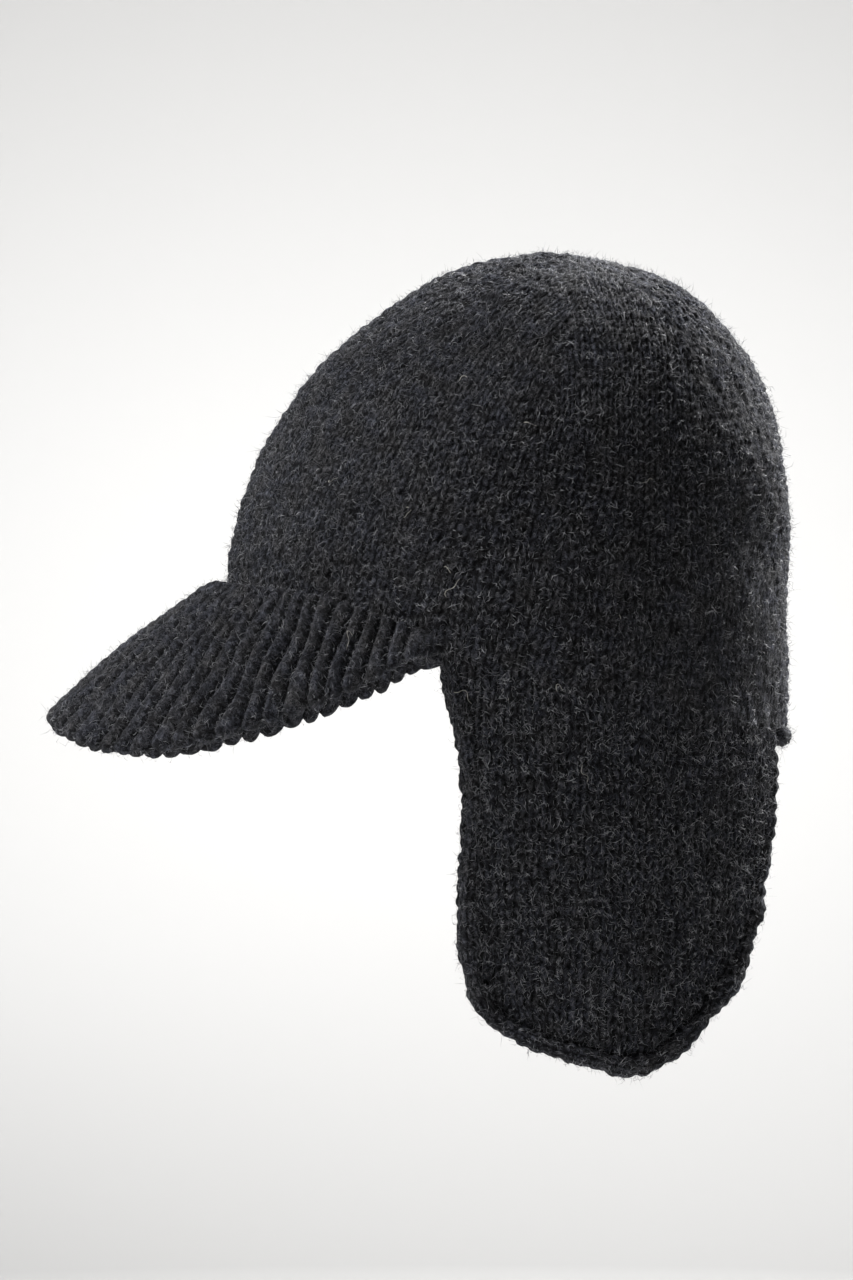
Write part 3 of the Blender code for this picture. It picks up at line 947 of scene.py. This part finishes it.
def flap_outline(distance, count):
    """Line at a distance inside the flap's free edge, carried up to the rim at both ends."""
    turns, heights = inset_line(*flap_edge_line(4 * count), distance)
    below = heights < rim_height(turns)
    turns = turns[below]
    heights = heights[below]
    first = 2 * turns[0] - turns[2]
    last = 2 * turns[-1] - turns[-3]
    turns = np.concatenate([[first], turns, [last]])
    heights = np.concatenate([[float(rim_height(first))], heights, [float(rim_height(last))]])
    return evenly_spaced(turns, heights, count)


def line_piece(line, start, end, count):
    """Part of a line between two shares of its length, in even steps."""
    turns, heights = line
    shares = np.linspace(0.0, 1.0, len(turns))
    wanted = np.linspace(start, end, count)
    return np.stack([np.interp(wanted, shares, turns), np.interp(wanted, shares, heights)], axis=-1)


def flap_grid(columns, rows):
    """Turn and height over the flap, blended from its four sides, front and top first."""
    line = flap_outline(FLAP_EDGE_INSET, FLAP_LINE_POINTS)
    front = line_piece(line, 0.0, FLAP_FRONT_CORNER, rows)
    bottom = line_piece(line, FLAP_FRONT_CORNER, FLAP_REAR_CORNER, columns)
    rear = line_piece(line, 1.0, FLAP_REAR_CORNER, rows)
    top_turn = np.linspace(front[0, 0], rear[0, 0], columns)
    top = np.stack([top_turn, rim_height(top_turn)], axis=-1)
    along = np.linspace(0.0, 1.0, columns)[None, :, None]
    down = np.linspace(0.0, 1.0, rows)[:, None, None]
    between_rows = (1 - down) * top[None] + down * bottom[None]
    between_columns = (1 - along) * front[:, None] + along * rear[:, None]
    corners = ((1 - down) * ((1 - along) * top[0] + along * top[-1])
               + down * ((1 - along) * bottom[0] + along * bottom[-1]))
    return between_rows + between_columns - corners


def distance_to_edge(turn, height):
    """Rough distance on the cloth from points to the flap's free edge."""
    edge_turns, edge_heights = flap_edge_line(EDGE_SAMPLES)
    scale = float(length_per_turn(np.array(FLAP_MIDDLE_TURN)))
    flat = np.stack([turn.ravel() * scale, height.ravel()], axis=-1)
    edge = np.stack([edge_turns * scale, edge_heights], axis=-1)
    result = np.empty(len(flat))
    for start in range(0, len(flat), EDGE_BLOCK):
        part = flat[start:start + EDGE_BLOCK]
        gaps = np.linalg.norm(part[:, None] - edge[None], axis=-1)
        result[start:start + EDGE_BLOCK] = gaps.min(axis=1)
    return result.reshape(turn.shape)


def wale_at_rim(turn, sign):
    """Wale count of the crown at its rim, on the left side or, with sign -1, on the right."""
    turn = turn if sign > 0 else 2 * math.pi - turn
    first = turn + WALL_SKEW * np.sin(turn)
    return (turn + WALL_SKEW * np.sin(first)) * WALES / (2 * math.pi) + 0.5


def lowness(height):
    """Share from 0 in a flap's upper part to 1 in its low end."""
    return np.clip((-height / FLAP_DROP - LOW_START) / LOW_SPAN, 0.0, 1.0)


def flap_outside(sign):
    """Outer face of a flap as on the left, its normals, and stitches that carry on from the crown's."""
    turn, height = np.moveaxis(flap_grid(FLAP_COLUMNS, FLAP_ROWS), -1, 0)
    smooth = skirt_point(turn, height, 0.0)
    out_x, out_y = outward(turn)
    normals = np.stack([out_x, out_y, 0.0 * out_x], axis=-1)
    own_side = smooth * np.array([sign, 1.0, 1.0])
    u = wale_at_rim(turn, sign) + lumps(own_side, WALE_DRIFT)
    v = (height - WALL_RISE) / COURSE + lumps(own_side, COURSE_DRIFT)
    inside = distance_to_edge(turn, height)
    low = lowness(height)
    groove = GROOVE_DEPTH * np.exp(-((inside - GROOVE_PLACE) / GROOVE_WIDTH) ** 2)
    curl = EDGE_CURL * low * np.exp(-(inside / CURL_REACH) ** 2)
    offset = knit_offset(u, v, own_side) - groove * between(GROOVE_SHARES, low) + curl
    return smooth + normals * offset[..., None], normals, u, v


def flap_inside(outer, normals):
    """Inner face of a flap: the outer one without its relief, a wall's thickness in."""
    smoothed = outer.copy()
    for _ in range(SMOOTHING_ROUNDS):
        middle = smoothed.copy()
        middle[1:-1, 1:-1] = (smoothed[:-2, 1:-1] + smoothed[2:, 1:-1]
                              + smoothed[1:-1, :-2] + smoothed[1:-1, 2:]) / 4
        smoothed = middle
    return smoothed - normals * (FLAP_WALL - FLAP_INNER_GAIN)


def coarse_picks(count):
    """Every few numbers below a count, and the last one."""
    return np.unique(np.append(np.arange(0, count, INNER_STEP), count - 1))


def build_flap(side, sign, material):
    """Knitted flap: two faces joined round their border."""
    outer, normals, u, v = flap_outside(sign)
    flip = np.array([sign, 1.0, 1.0])
    order = slice(None, None, sign)
    rows, columns = u.shape
    picked_rows = coarse_picks(rows)
    picked_columns = coarse_picks(columns)
    picked = np.ix_(picked_rows, picked_columns)
    shell = Shell()
    start = shell.add_points(outer * flip)
    inner_start = shell.add_points(flap_inside(outer, normals)[picked] * flip)
    outer_quads = grid_quads(rows, columns, start, False)
    shell.add_quads(outer_quads[:, ::-1][:, order], grid_uv(u, v)[:, ::-1][:, order])
    inner_quads = grid_quads(len(picked_rows), len(picked_columns), inner_start, False)
    shell.add_quads(inner_quads[:, order], grid_uv(u[picked], v[picked])[:, order])
    outer_border = border_loop(rows, columns, start)
    inner_border = border_loop(len(picked_rows), len(picked_columns), inner_start)
    places = (border_places(np.arange(rows), np.arange(columns)), border_places(picked_rows, picked_columns))
    stitch_border(shell, outer_border, inner_border, *places, np.stack([u, v], axis=-1), sign)
    mesh = shell.mesh("ear_flap_" + side + "_knit")
    sharpen_border(mesh, zip(outer_border, np.roll(outer_border, -1)))
    return add_piece(mesh.name, mesh, material, "flap_wool", "ear_flap_" + side)


def border_loop(rows, columns, start):
    """Point numbers round a grid's border, top row first."""
    top = np.arange(columns)
    right = np.arange(1, rows) * columns + columns - 1
    bottom = (rows - 1) * columns + np.arange(columns - 2, -1, -1)
    left = np.arange(rows - 2, 0, -1) * columns
    return start + np.concatenate([top, right, bottom, left])


def border_places(rows, columns):
    """Place of each border point as one growing number, in the same order as border_loop."""
    last_row = rows[-1]
    last_column = columns[-1]
    top = columns
    right = last_column + rows[1:]
    bottom = last_column + last_row + (last_column - columns[::-1][1:])
    left = 2 * last_column + last_row + (last_row - rows[::-1][1:-1])
    return np.concatenate([top, right, bottom, left])


def stitch_border(shell, fine, coarse, fine_places, coarse_places, uv, sign):
    """Triangles between the borders of the flap's two faces."""
    total = len(fine)
    position = np.arange(total)
    here = np.searchsorted(coarse_places, fine_places, side="right") - 1
    following = (here + 1) % len(coarse)
    counts = np.bincount(here)
    first = np.cumsum(counts) - counts
    beyond_half = position - first[here] >= (counts // 2)[here]
    nearest = coarse[np.where(beyond_half, following, here)]
    to_coarse = np.stack([fine, fine[(position + 1) % total], nearest], axis=-1)
    middle = first + counts // 2
    between_coarse = np.stack([fine[middle], np.roll(coarse, -1), coarse], axis=-1)
    row_order = np.argsort(np.append(position, first + counts - 0.5), kind="stable")
    corners = np.concatenate([to_coarse, between_coarse])[row_order]
    corner_uv = uv.reshape(-1, 2)[np.append(fine, fine[middle]) - fine[0]][row_order]
    shell.add_triangles(corners[:, ::sign], np.repeat(corner_uv[:, None], 3, axis=1))


# Rolled edges


def roll_mesh(name, line, radius, wobble_layers):
    """Knitted roll along a line of points, its stitches wrapped round it."""
    steps = np.linalg.norm(np.diff(line, axis=0), axis=-1)
    walked = np.concatenate([[0.0], np.cumsum(steps)])
    count = int(walked[-1] / ROLL_STEP)
    even = np.linspace(0.0, walked[-1], count + 1)
    centre = np.stack([np.interp(even, walked, line[:, axis]) for axis in range(3)], axis=-1)
    tangent = np.gradient(centre, axis=0)
    tangent /= np.linalg.norm(tangent, axis=-1, keepdims=True)
    away = centre * np.array([1.0, 1.0, 0.0])
    side = away - (away * tangent).sum(-1, keepdims=True) * tangent
    side /= np.linalg.norm(side, axis=-1, keepdims=True)
    up = np.cross(tangent, side)
    angle = 2 * math.pi * np.arange(ROLL_SIDES + 1) / ROLL_SIDES
    u, v = np.meshgrid(angle / (2 * math.pi) * ROLL_WALES, even / COURSE)
    wobble = lumps(centre, wobble_layers)[:, None]
    relief = stockinette(u + ROLL_DRIFT * wobble, v + ROLL_DRIFT * wobble) - ROLL_RELIEF_MIDDLE
    scallop = SCALLOP_HEIGHT * np.abs(np.sin(math.pi * even / (SCALLOP_COURSES * COURSE)))[:, None]
    from_end = np.clip(np.minimum(even, walked[-1] - even) / (2.0 * radius), 0.0, 1.0)[:, None] ** 0.5
    size = radius * between((ROLL_END, 1.0), from_end) + relief * ROLL_RELIEF + scallop + ROLL_WOBBLE * wobble
    spokes = side[:, None] * np.cos(angle)[:, None] + up[:, None] * np.sin(angle)[:, None]
    shell = Shell()
    start = shell.add_points((centre[:, None] + size[..., None] * spokes)[:, :-1])
    shell.add_quads(grid_quads(count + 1, ROLL_SIDES, start, True), grid_uv(u, v))
    column = np.arange(ROLL_SIDES)
    following = (column + 1) % ROLL_SIDES
    last = start + count * ROLL_SIDES
    shell.add_fan(start + following, start + column, centre[0], [u[0, 0], v[0, 0]])
    shell.add_fan(last + column, last + following, centre[-1], [u[-1, 0], v[-1, 0]])
    return shell.mesh(name)


def build_band(side, sign, material):
    """Rolled band round a flap's free edge."""
    turns, heights = flap_outline(BAND_DIAMETER / 2 + BAND_SWELL, BAND_LINE_POINTS)
    turns = np.concatenate([[turns[0]], turns, [turns[-1]]])
    heights = np.concatenate([[heights[0] + BAND_RUN_IN], heights, [heights[-1] + BAND_RUN_IN]])
    low = lowness(heights)
    line = skirt_point(turns, heights - BAND_DROP, FLAP_WALL / 2 + BAND_SINK * (1.0 - low))
    out_x, out_y = outward(turns)
    line = line + np.stack([out_x, out_y, 0 * out_x], axis=-1) * (EDGE_CURL * BAND_CURL * low)[:, None]
    line = line * np.array([sign, 1.0, 1.0])
    node = "flap_band_" + side
    mesh = roll_mesh(node + "_roll", line, BAND_DIAMETER / 2, BAND_WOBBLE)
    return add_piece(mesh.name, mesh, material, "edge_wool", node)


def build_hem(material):
    """Rolled hem across the nape."""
    turns = np.linspace(FLAP_REAR_TURN, 2 * math.pi - FLAP_REAR_TURN, HEM_LINE_POINTS)
    x, y = oval(turns)
    out_x, out_y = outward(turns)
    inset = KNIT_WALL / 2
    heights = rim_height(turns) - HEM_DIAMETER / 2 + HEM_LIFT
    line = np.stack([x - out_x * inset, y - out_y * inset, heights], axis=-1)
    mesh = roll_mesh("nape_hem_roll", line, HEM_DIAMETER / 2, HEM_WOBBLE)
    return add_piece("nape_hem_roll", mesh, material, "edge_wool", "nape_hem")


# Loose fibres that stand off the wool


def fuzz_mesh(name, source, count, seed):
    """Thin bent fibres, pointed at both ends, rooted on the outer faces of a knitted mesh."""
    draw = np.random.default_rng(seed)
    areas = face_values(source, "area", 1)[:, 0]
    # Inner faces are larger, and stay bare
    areas[np.median(areas) * BARE_AREA < areas] = 0.0
    picked = draw.choice(len(areas), size=count, p=areas / areas.sum())
    root = face_values(source, "center", 3)[picked]
    normal = face_values(source, "normal", 3)[picked]
    side = np.cross(normal, draw.normal(size=(count, 3)))
    side /= np.linalg.norm(side, axis=-1, keepdims=True)
    other = np.cross(normal, side)
    length = draw.uniform(*FUZZ_LENGTHS, size=(count, 1))
    length *= np.where(draw.uniform(size=(count, 1)) < LONG_FIBRE_SHARE, LONG_FIBRE_FACTOR, 1.0)
    rise = between(FUZZ_RISE, draw.uniform(size=(count, 1)) ** 2)
    bend = draw.uniform(*FUZZ_BEND, size=(count, 1))
    start = root - normal * FUZZ_ROOT_DEPTH
    middle = root + length * (0.5 * side + 0.5 * rise * normal) + normal * FUZZ_CLEARANCE
    tip_rise = rise * draw.uniform(*FUZZ_TIP_RISE, size=(count, 1))
    end = root + length * (side + other * bend + normal * tip_rise)
    thick = draw.uniform(*FUZZ_THICKNESS, size=(count, 1))
    corners = [start]
    for number in range(3):
        angle = 2 * math.pi * number / 3
        corners.append(middle + thick * (other * math.cos(angle) + normal * math.sin(angle)))
    corners.append(end)
    vertices = np.stack(corners, axis=1).reshape(-1, 3)
    pattern = np.array([[2, 1, 0], [3, 2, 0], [1, 3, 0], [1, 2, 4], [2, 3, 4], [3, 1, 4]])
    triangles = (pattern[None] + 5 * np.arange(count)[:, None, None]).reshape(-1, 3)
    mesh = bpy.data.meshes.new(name)
    mesh.from_pydata(vertices.tolist(), [], triangles.tolist())
    mesh.update()
    return mesh


def hair_path(draw, root, normal, length):
    """Curled line that lies on the knitting at a root."""
    side = np.cross(normal, draw.normal(size=3))
    side /= np.linalg.norm(side)
    other = np.cross(normal, side)
    walk = np.linspace(0.0, 1.0, HAIR_STEPS + 1)
    swing = draw.uniform(*HAIR_SWING)
    wave = np.sin(walk * draw.uniform(*HAIR_WAVES) + draw.uniform(*LUMP_PHASES))
    heading = (swing * walk + HAIR_WAVE * wave)[:, None]
    path = np.cumsum(length / HAIR_STEPS * (np.cos(heading) * side + np.sin(heading) * other), axis=0)
    lift = HAIR_CLEARANCE + HAIR_ARCH * np.sin(math.pi * walk) * draw.uniform(*HAIR_ARCHES)
    return root + path + normal * lift[:, None]


def hair_mesh(name, sources):
    """Curled hairs lying on the knitting, as closed three-sided tubes."""
    draw = np.random.default_rng(HAIR_SEED)
    centres = np.concatenate([face_values(source, "center", 3) for source in sources])
    normals = np.concatenate([face_values(source, "normal", 3) for source in sources])
    outer = (centres[:, 0] > HAIR_SIDE) & (normals[:, 0] > HAIR_FACING)
    centres = centres[outer]
    normals = normals[outer]
    angle = (2 * math.pi * np.arange(3) / 3)[:, None]
    shell = Shell()
    for hair in LOOSE_HAIRS:
        near = np.argmin(np.hypot(centres[:, 1] - hair.back, centres[:, 2] - hair.height))
        path = hair_path(draw, centres[near], normals[near], hair.length)
        tangent = np.gradient(path, axis=0)
        tangent /= np.linalg.norm(tangent, axis=-1, keepdims=True)
        across = np.cross(tangent, normals[near])
        spokes = across[:, None] * np.cos(angle) + normals[near] * np.sin(angle)
        start = shell.add_points(path[:, None] + HAIR_RADIUS * spokes)
        quads = grid_quads(HAIR_STEPS + 1, 3, start, True)
        shell.add_quads(quads[:, ::-1], np.zeros((len(quads), 4, 2)))
        last = start + HAIR_STEPS * 3
        ends = np.array([[start, start + 1, start + 2], [last + 2, last + 1, last]])
        shell.add_triangles(ends, np.zeros((2, 3, 2)))
    return shell.mesh(name)


# Wool


class NodeKit:
    """Short forms for the shader nodes of one material."""

    def __init__(self, name):
        self.material = bpy.data.materials.new(name)
        self.material.use_nodes = True
        self.nodes = self.material.node_tree.nodes
        self.links = self.material.node_tree.links
        self.shader = self.nodes["Principled BSDF"]
        self.place = self.nodes.new("ShaderNodeTexCoord").outputs["Object"]

    def fill(self, sockets, values):
        """Sets each socket to a value, or links it to another node's output."""
        for socket, value in zip(sockets, values):
            if isinstance(value, bpy.types.NodeSocket):
                self.links.new(value, socket)
            else:
                socket.default_value = value

    def maths(self, operation, *values):
        node = self.nodes.new("ShaderNodeMath")
        node.operation = operation
        self.fill(node.inputs, values)
        return node.outputs[0]

    def times(self, first, second):
        return self.maths("MULTIPLY", first, second)

    def plus(self, first, second):
        return self.maths("ADD", first, second)

    def minus(self, first, second):
        return self.maths("SUBTRACT", first, second)

    def line(self, value, slope, offset):
        """A value times a slope, plus an offset."""
        return self.maths("MULTIPLY_ADD", value, slope, offset)

    def noise(self, kind, vector=None):
        node = self.nodes.new("ShaderNodeTexNoise")
        sockets = [node.inputs[field.capitalize()] for field in Noise._fields]
        self.fill(sockets, kind)
        self.links.new(vector or self.place, node.inputs["Vector"])
        return node.outputs["Fac"]

    def joined(self, *values):
        node = self.nodes.new("ShaderNodeCombineXYZ")
        self.fill(node.inputs, values)
        return node.outputs[0]

    def raised(self, value, stretch):
        """Value stretched to run from 0 to 1."""
        node = self.nodes.new("ShaderNodeMapRange")
        node.inputs["From Min"].default_value = stretch[0]
        node.inputs["From Max"].default_value = stretch[1]
        self.links.new(value, node.inputs["Value"])
        return node.outputs["Result"]

    def strokes(self, kind, width):
        """Thin wandering lines, as hairs lie on wool."""
        ridge = self.maths("ABSOLUTE", self.minus(self.noise(kind), 0.5))
        return self.maths("MAXIMUM", self.minus(1.0, self.times(ridge, 1.0 / width)), 0.0)


Stitch = namedtuple("Stitch", "v wale half aside course height")


def wool_stitch(kit, ribbed):
    """Where a point lies in the knitting, and how high its stitch stands there, from 0 to 1."""
    coordinates = kit.nodes.new("ShaderNodeUVMap")
    coordinates.uv_map = "stitch"
    parts = kit.nodes.new("ShaderNodeSeparateXYZ")
    kit.links.new(coordinates.outputs["UV"], parts.inputs[0])
    wander = kit.times(kit.minus(kit.noise(WANDER_NOISE), 0.5), WANDER)
    u = kit.plus(parts.outputs["X"], wander)
    v = kit.plus(parts.outputs["Y"], wander)
    inside = kit.maths("FRACT", u)
    aside = kit.maths("ABSOLUTE", kit.minus(inside, 0.5))
    course = kit.minus(v, kit.times(aside, LEG_SLOPE))
    off_leg = kit.times(kit.minus(aside, LEG_PLACE), LEG_NARROWNESS)
    leg = kit.maths("MAXIMUM", kit.minus(1.0, kit.times(off_leg, off_leg)), 0.0)
    plump = kit.maths("SINE", kit.times(kit.maths("FRACT", course), math.pi))
    height = kit.times(leg, kit.line(plump, *PLUMP_LINE))
    # On the visor's ribs the height falls to nothing in the grooves between them: the bump lowers the
    # grooves, and the colour paints shade into them
    if ribbed:
        ridge = kit.minus(1.0, kit.maths("POWER", kit.times(aside, RIB_NARROWNESS), RIB_POWER))
        height = kit.times(kit.maths("MAXIMUM", ridge, 0.0), kit.line(height, *RIB_LINE))
    return Stitch(v, kit.maths("FLOOR", u), kit.maths("GREATER_THAN", inside, 0.5), aside, course, height)


def wool_ply(kit, stitch):
    """Fibres of the yarn, which run along each leg of a stitch."""
    across = kit.line(stitch.aside, ACROSS_LEG[0], kit.times(stitch.v, ACROSS_LEG[1]))
    along = kit.line(stitch.aside, ALONG_LEG[0], kit.times(stitch.v, ALONG_LEG[1]))
    layer = kit.line(stitch.wale, WALE_SALT, kit.times(stitch.half, LEG_SALT))
    lengthwise = kit.joined(kit.times(across, FIBRE_FINENESS), kit.times(along, FIBRE_LENGTH), layer)
    return kit.raised(kit.noise(PLY_NOISE, lengthwise), PLY_STRETCH)


def wool_curls(kit):
    """Short curled hairs that lie over the knitting in places."""
    long_curls = kit.strokes(LONG_CURLS, LONG_CURL_WIDTH)
    curls = kit.maths("MAXIMUM", long_curls, kit.strokes(SHORT_CURLS, SHORT_CURL_WIDTH))
    return kit.times(curls, kit.raised(kit.noise(CURL_NOISE), CURL_STRETCH))


def wool_bump(kit, stitch, ply, curls):
    """Fine relief of stitches, fibres, grain and hairs."""
    surface = kit.times(stitch.height, BUMP_SHARES["stitch"])
    surface = kit.plus(surface, kit.times(ply, BUMP_SHARES["ply"]))
    surface = kit.plus(surface, kit.times(kit.noise(GRAIN_NOISE), BUMP_SHARES["grain"]))
    surface = kit.plus(surface, kit.times(curls, BUMP_SHARES["curls"]))
    bump = kit.nodes.new("ShaderNodeBump")
    for socket, value in BUMP.items():
        bump.inputs[socket].default_value = value
    kit.links.new(surface, bump.inputs["Height"])
    kit.links.new(bump.outputs["Normal"], kit.shader.inputs["Normal"])


def wool_shade(kit, stitch, ply, curls):
    """Brightness: painted shade between the legs, where the stitches stand low, mottled on them, and pale
    where a hair lies, the hairs also painted dimmer in the gaps.
    """
    chance = kit.nodes.new("ShaderNodeTexWhiteNoise")
    chance.noise_dimensions = "3D"
    own_stitch = kit.joined(stitch.wale, kit.maths("FLOOR", stitch.course), stitch.half)
    kit.links.new(own_stitch, chance.inputs["Vector"])
    # Painted shade: the lower a point of its stitch stands, the darker its colour
    gap_shade = kit.maths("POWER", stitch.height, GAP_SHADE_EXPONENT)
    shade = kit.times(kit.line(ply, *PLY_LINE), kit.line(gap_shade, *GAP_SHADE_LINE))
    shade = kit.times(shade, kit.line(chance.outputs["Value"], *OWN_TONE_LINE))
    shade = kit.times(shade, kit.line(kit.raised(kit.noise(MOTTLE_NOISE), MOTTLE_STRETCH), *MOTTLE_LINE))
    shade = kit.times(shade, kit.line(kit.noise(BROAD_NOISE), *BROAD_LINE))
    # Painted shade on the pale hairs too: dimmer where their stitch stands low
    pale = kit.times(kit.times(curls, kit.line(stitch.height, *HAIR_GAP_SHADE_LINE)), PALE_STRENGTH)
    return kit.plus(kit.plus(shade, pale), SHADE_FLOOR)


def wool(name, colour, ribbed=False):
    """Melange wool: V stitches of many fibres, with pale hairs lying over them."""
    kit = NodeKit(name)
    for socket, value in WOOL_FINISH.items():
        kit.shader.inputs[socket].default_value = value
    stitch = wool_stitch(kit, ribbed)
    ply = wool_ply(kit, stitch)
    curls = wool_curls(kit)
    wool_bump(kit, stitch, ply, curls)
    tint = kit.nodes.new("ShaderNodeMix")
    tint.data_type = "RGBA"
    tint.inputs["A"].default_value = tinted(colour, WARM_TINT)
    tint.inputs["B"].default_value = tinted(colour, COOL_TINT)
    kit.links.new(kit.raised(kit.noise(TINT_NOISE), TINT_STRETCH), tint.inputs["Factor"])
    mixed = kit.nodes.new("ShaderNodeVectorMath")
    mixed.operation = "SCALE"
    kit.links.new(tint.outputs["Result"], mixed.inputs[0])
    kit.links.new(wool_shade(kit, stitch, ply, curls), mixed.inputs["Scale"])
    kit.links.new(mixed.outputs[0], kit.shader.inputs["Base Color"])
    return kit.material


def tinted(colour, tint):
    """Colour with alpha, each channel times the tint's."""
    return (*(channel * factor for channel, factor in zip(colour, tint)), 1.0)


def fibre(name, colour):
    """Single fibres, dark to pale from place to place."""
    kit = NodeKit(name)
    kit.shader.inputs["Roughness"].default_value = FIBRE_ROUGHNESS
    ramp = kit.nodes.new("ShaderNodeValToRGB")
    for stop, place, tint in zip(ramp.color_ramp.elements, FIBRE_STOPS, (FIBRE_DARK, FIBRE_PALE)):
        stop.position = place
        stop.color = tinted(colour, tint)
    noise = kit.nodes.new("ShaderNodeTexNoise")
    noise.inputs["Scale"].default_value = FIBRE_NOISE
    kit.links.new(kit.place, noise.inputs["Vector"])
    kit.links.new(noise.outputs["Fac"], ramp.inputs["Fac"])
    kit.links.new(ramp.outputs["Color"], kit.shader.inputs["Base Color"])
    return kit.material


# Studio


def build_studio():
    """Round pale floor that sweeps up into a wall."""
    sweep = math.pi / 2 * np.arange(COVE_STEPS + 1) / COVE_STEPS
    radii = np.append(STUDIO_RADIUS - COVE_RADIUS * (1 - np.sin(sweep)), STUDIO_RADIUS)
    heights = FLOOR_HEIGHT + np.append(COVE_RADIUS * (1 - np.cos(sweep)), STUDIO_WALL)
    angle = 2 * math.pi * np.arange(STUDIO_SIDES) / STUDIO_SIDES
    level = heights[:, None] + 0.0 * angle
    vertices = np.stack([radii[:, None] * np.cos(angle), radii[:, None] * np.sin(angle), level], axis=-1)
    faces = grid_quads(len(radii), STUDIO_SIDES, 0, True).tolist() + [list(range(STUDIO_SIDES))]
    mesh = bpy.data.meshes.new("studio_floor")
    mesh.from_pydata(vertices.reshape(-1, 3).tolist(), [], faces)
    for polygon in mesh.polygons:
        polygon.use_smooth = len(polygon.vertices) == 4
    paper = bpy.data.materials.new("studio_paper")
    paper.use_nodes = True
    shader = paper.node_tree.nodes["Principled BSDF"]
    shader.inputs["Base Color"].default_value = (*BACKDROP_GREY, 1.0)
    shader.inputs["Roughness"].default_value = BACKDROP_ROUGHNESS
    mesh.materials.append(paper)
    floor = bpy.data.objects.new("studio_floor", mesh)
    bpy.context.scene.collection.objects.link(floor)


def build_light():
    """Square soft lights and an even sky."""
    for light in LIGHTS:
        data = bpy.data.lights.new(light.name, "AREA")
        data.energy = light.power
        data.size = light.size
        data.spread = math.radians(light.spread)
        lamp = bpy.data.objects.new(light.name, data)
        lamp.location = light.place
        aim = Vector(light.target) - Vector(light.place)
        lamp.rotation_euler = aim.to_track_quat("-Z", "Y").to_euler()
        bpy.context.scene.collection.objects.link(lamp)
    world = bpy.data.worlds.new("studio_world")
    world.use_nodes = True
    background = world.node_tree.nodes["Background"]
    background.inputs["Color"].default_value = (1.0, 1.0, 1.0, 1.0)
    background.inputs["Strength"].default_value = SKY_STRENGTH
    bpy.context.scene.world = world
    bpy.context.scene.view_settings.view_transform = "Standard"


def build_camera():
    """Camera square to the wearer's left side, a little below the middle."""
    data = bpy.data.cameras.new("camera")
    data.sensor_width = SENSOR
    data.lens = SENSOR * CAMERA_DISTANCE / LONG_SIDE
    toward = Vector((math.cos(CAMERA_ELEVATION), 0.0, math.sin(CAMERA_ELEVATION)))
    camera = bpy.data.objects.new("camera", data)
    camera.location = LOOK_POINT + toward * CAMERA_DISTANCE
    camera.rotation_euler = (-toward).to_track_quat("-Z", "Y").to_euler()
    bpy.context.scene.collection.objects.link(camera)
    bpy.context.scene.camera = camera


# The cap

edge_wool = wool("edge_wool", WOOL_GREY)
# The flaps' wool is a darker copy of the same yarn: painted shade
flap_wool = wool("flap_wool", FLAP_SHADED_GREY)
knitted = [
    (build_crown(wool("crown_wool", WOOL_GREY)), "crown"),
    (build_visor(wool("visor_wool", WOOL_GREY, ribbed=True)), "visor"),
]
for side, sign in (("left", 1), ("right", -1)):
    knitted.append((build_flap(side, sign, flap_wool), "flap"))
    knitted.append((build_band(side, sign, edge_wool), "band"))
knitted.append((build_hem(edge_wool), "hem"))

fuzz_wool = fibre("fuzz_wool", FUZZ_GREY)
for number, (piece, kind) in enumerate(knitted):
    name = piece.name.rsplit("_", 1)[0] + "_fuzz"
    fibres = fuzz_mesh(name, piece.data, FUZZ_COUNTS[kind], RANDOM_SEED + number)
    add_piece(name, fibres, fuzz_wool, piece["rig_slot"], None)

hairs = hair_mesh("loose_hairs", [piece.data for piece, _ in knitted])
add_piece("loose_hairs", hairs, fibre("hair_wool", HAIR_GREY), "crown_wool", None)

build_studio()
build_light()
build_camera()
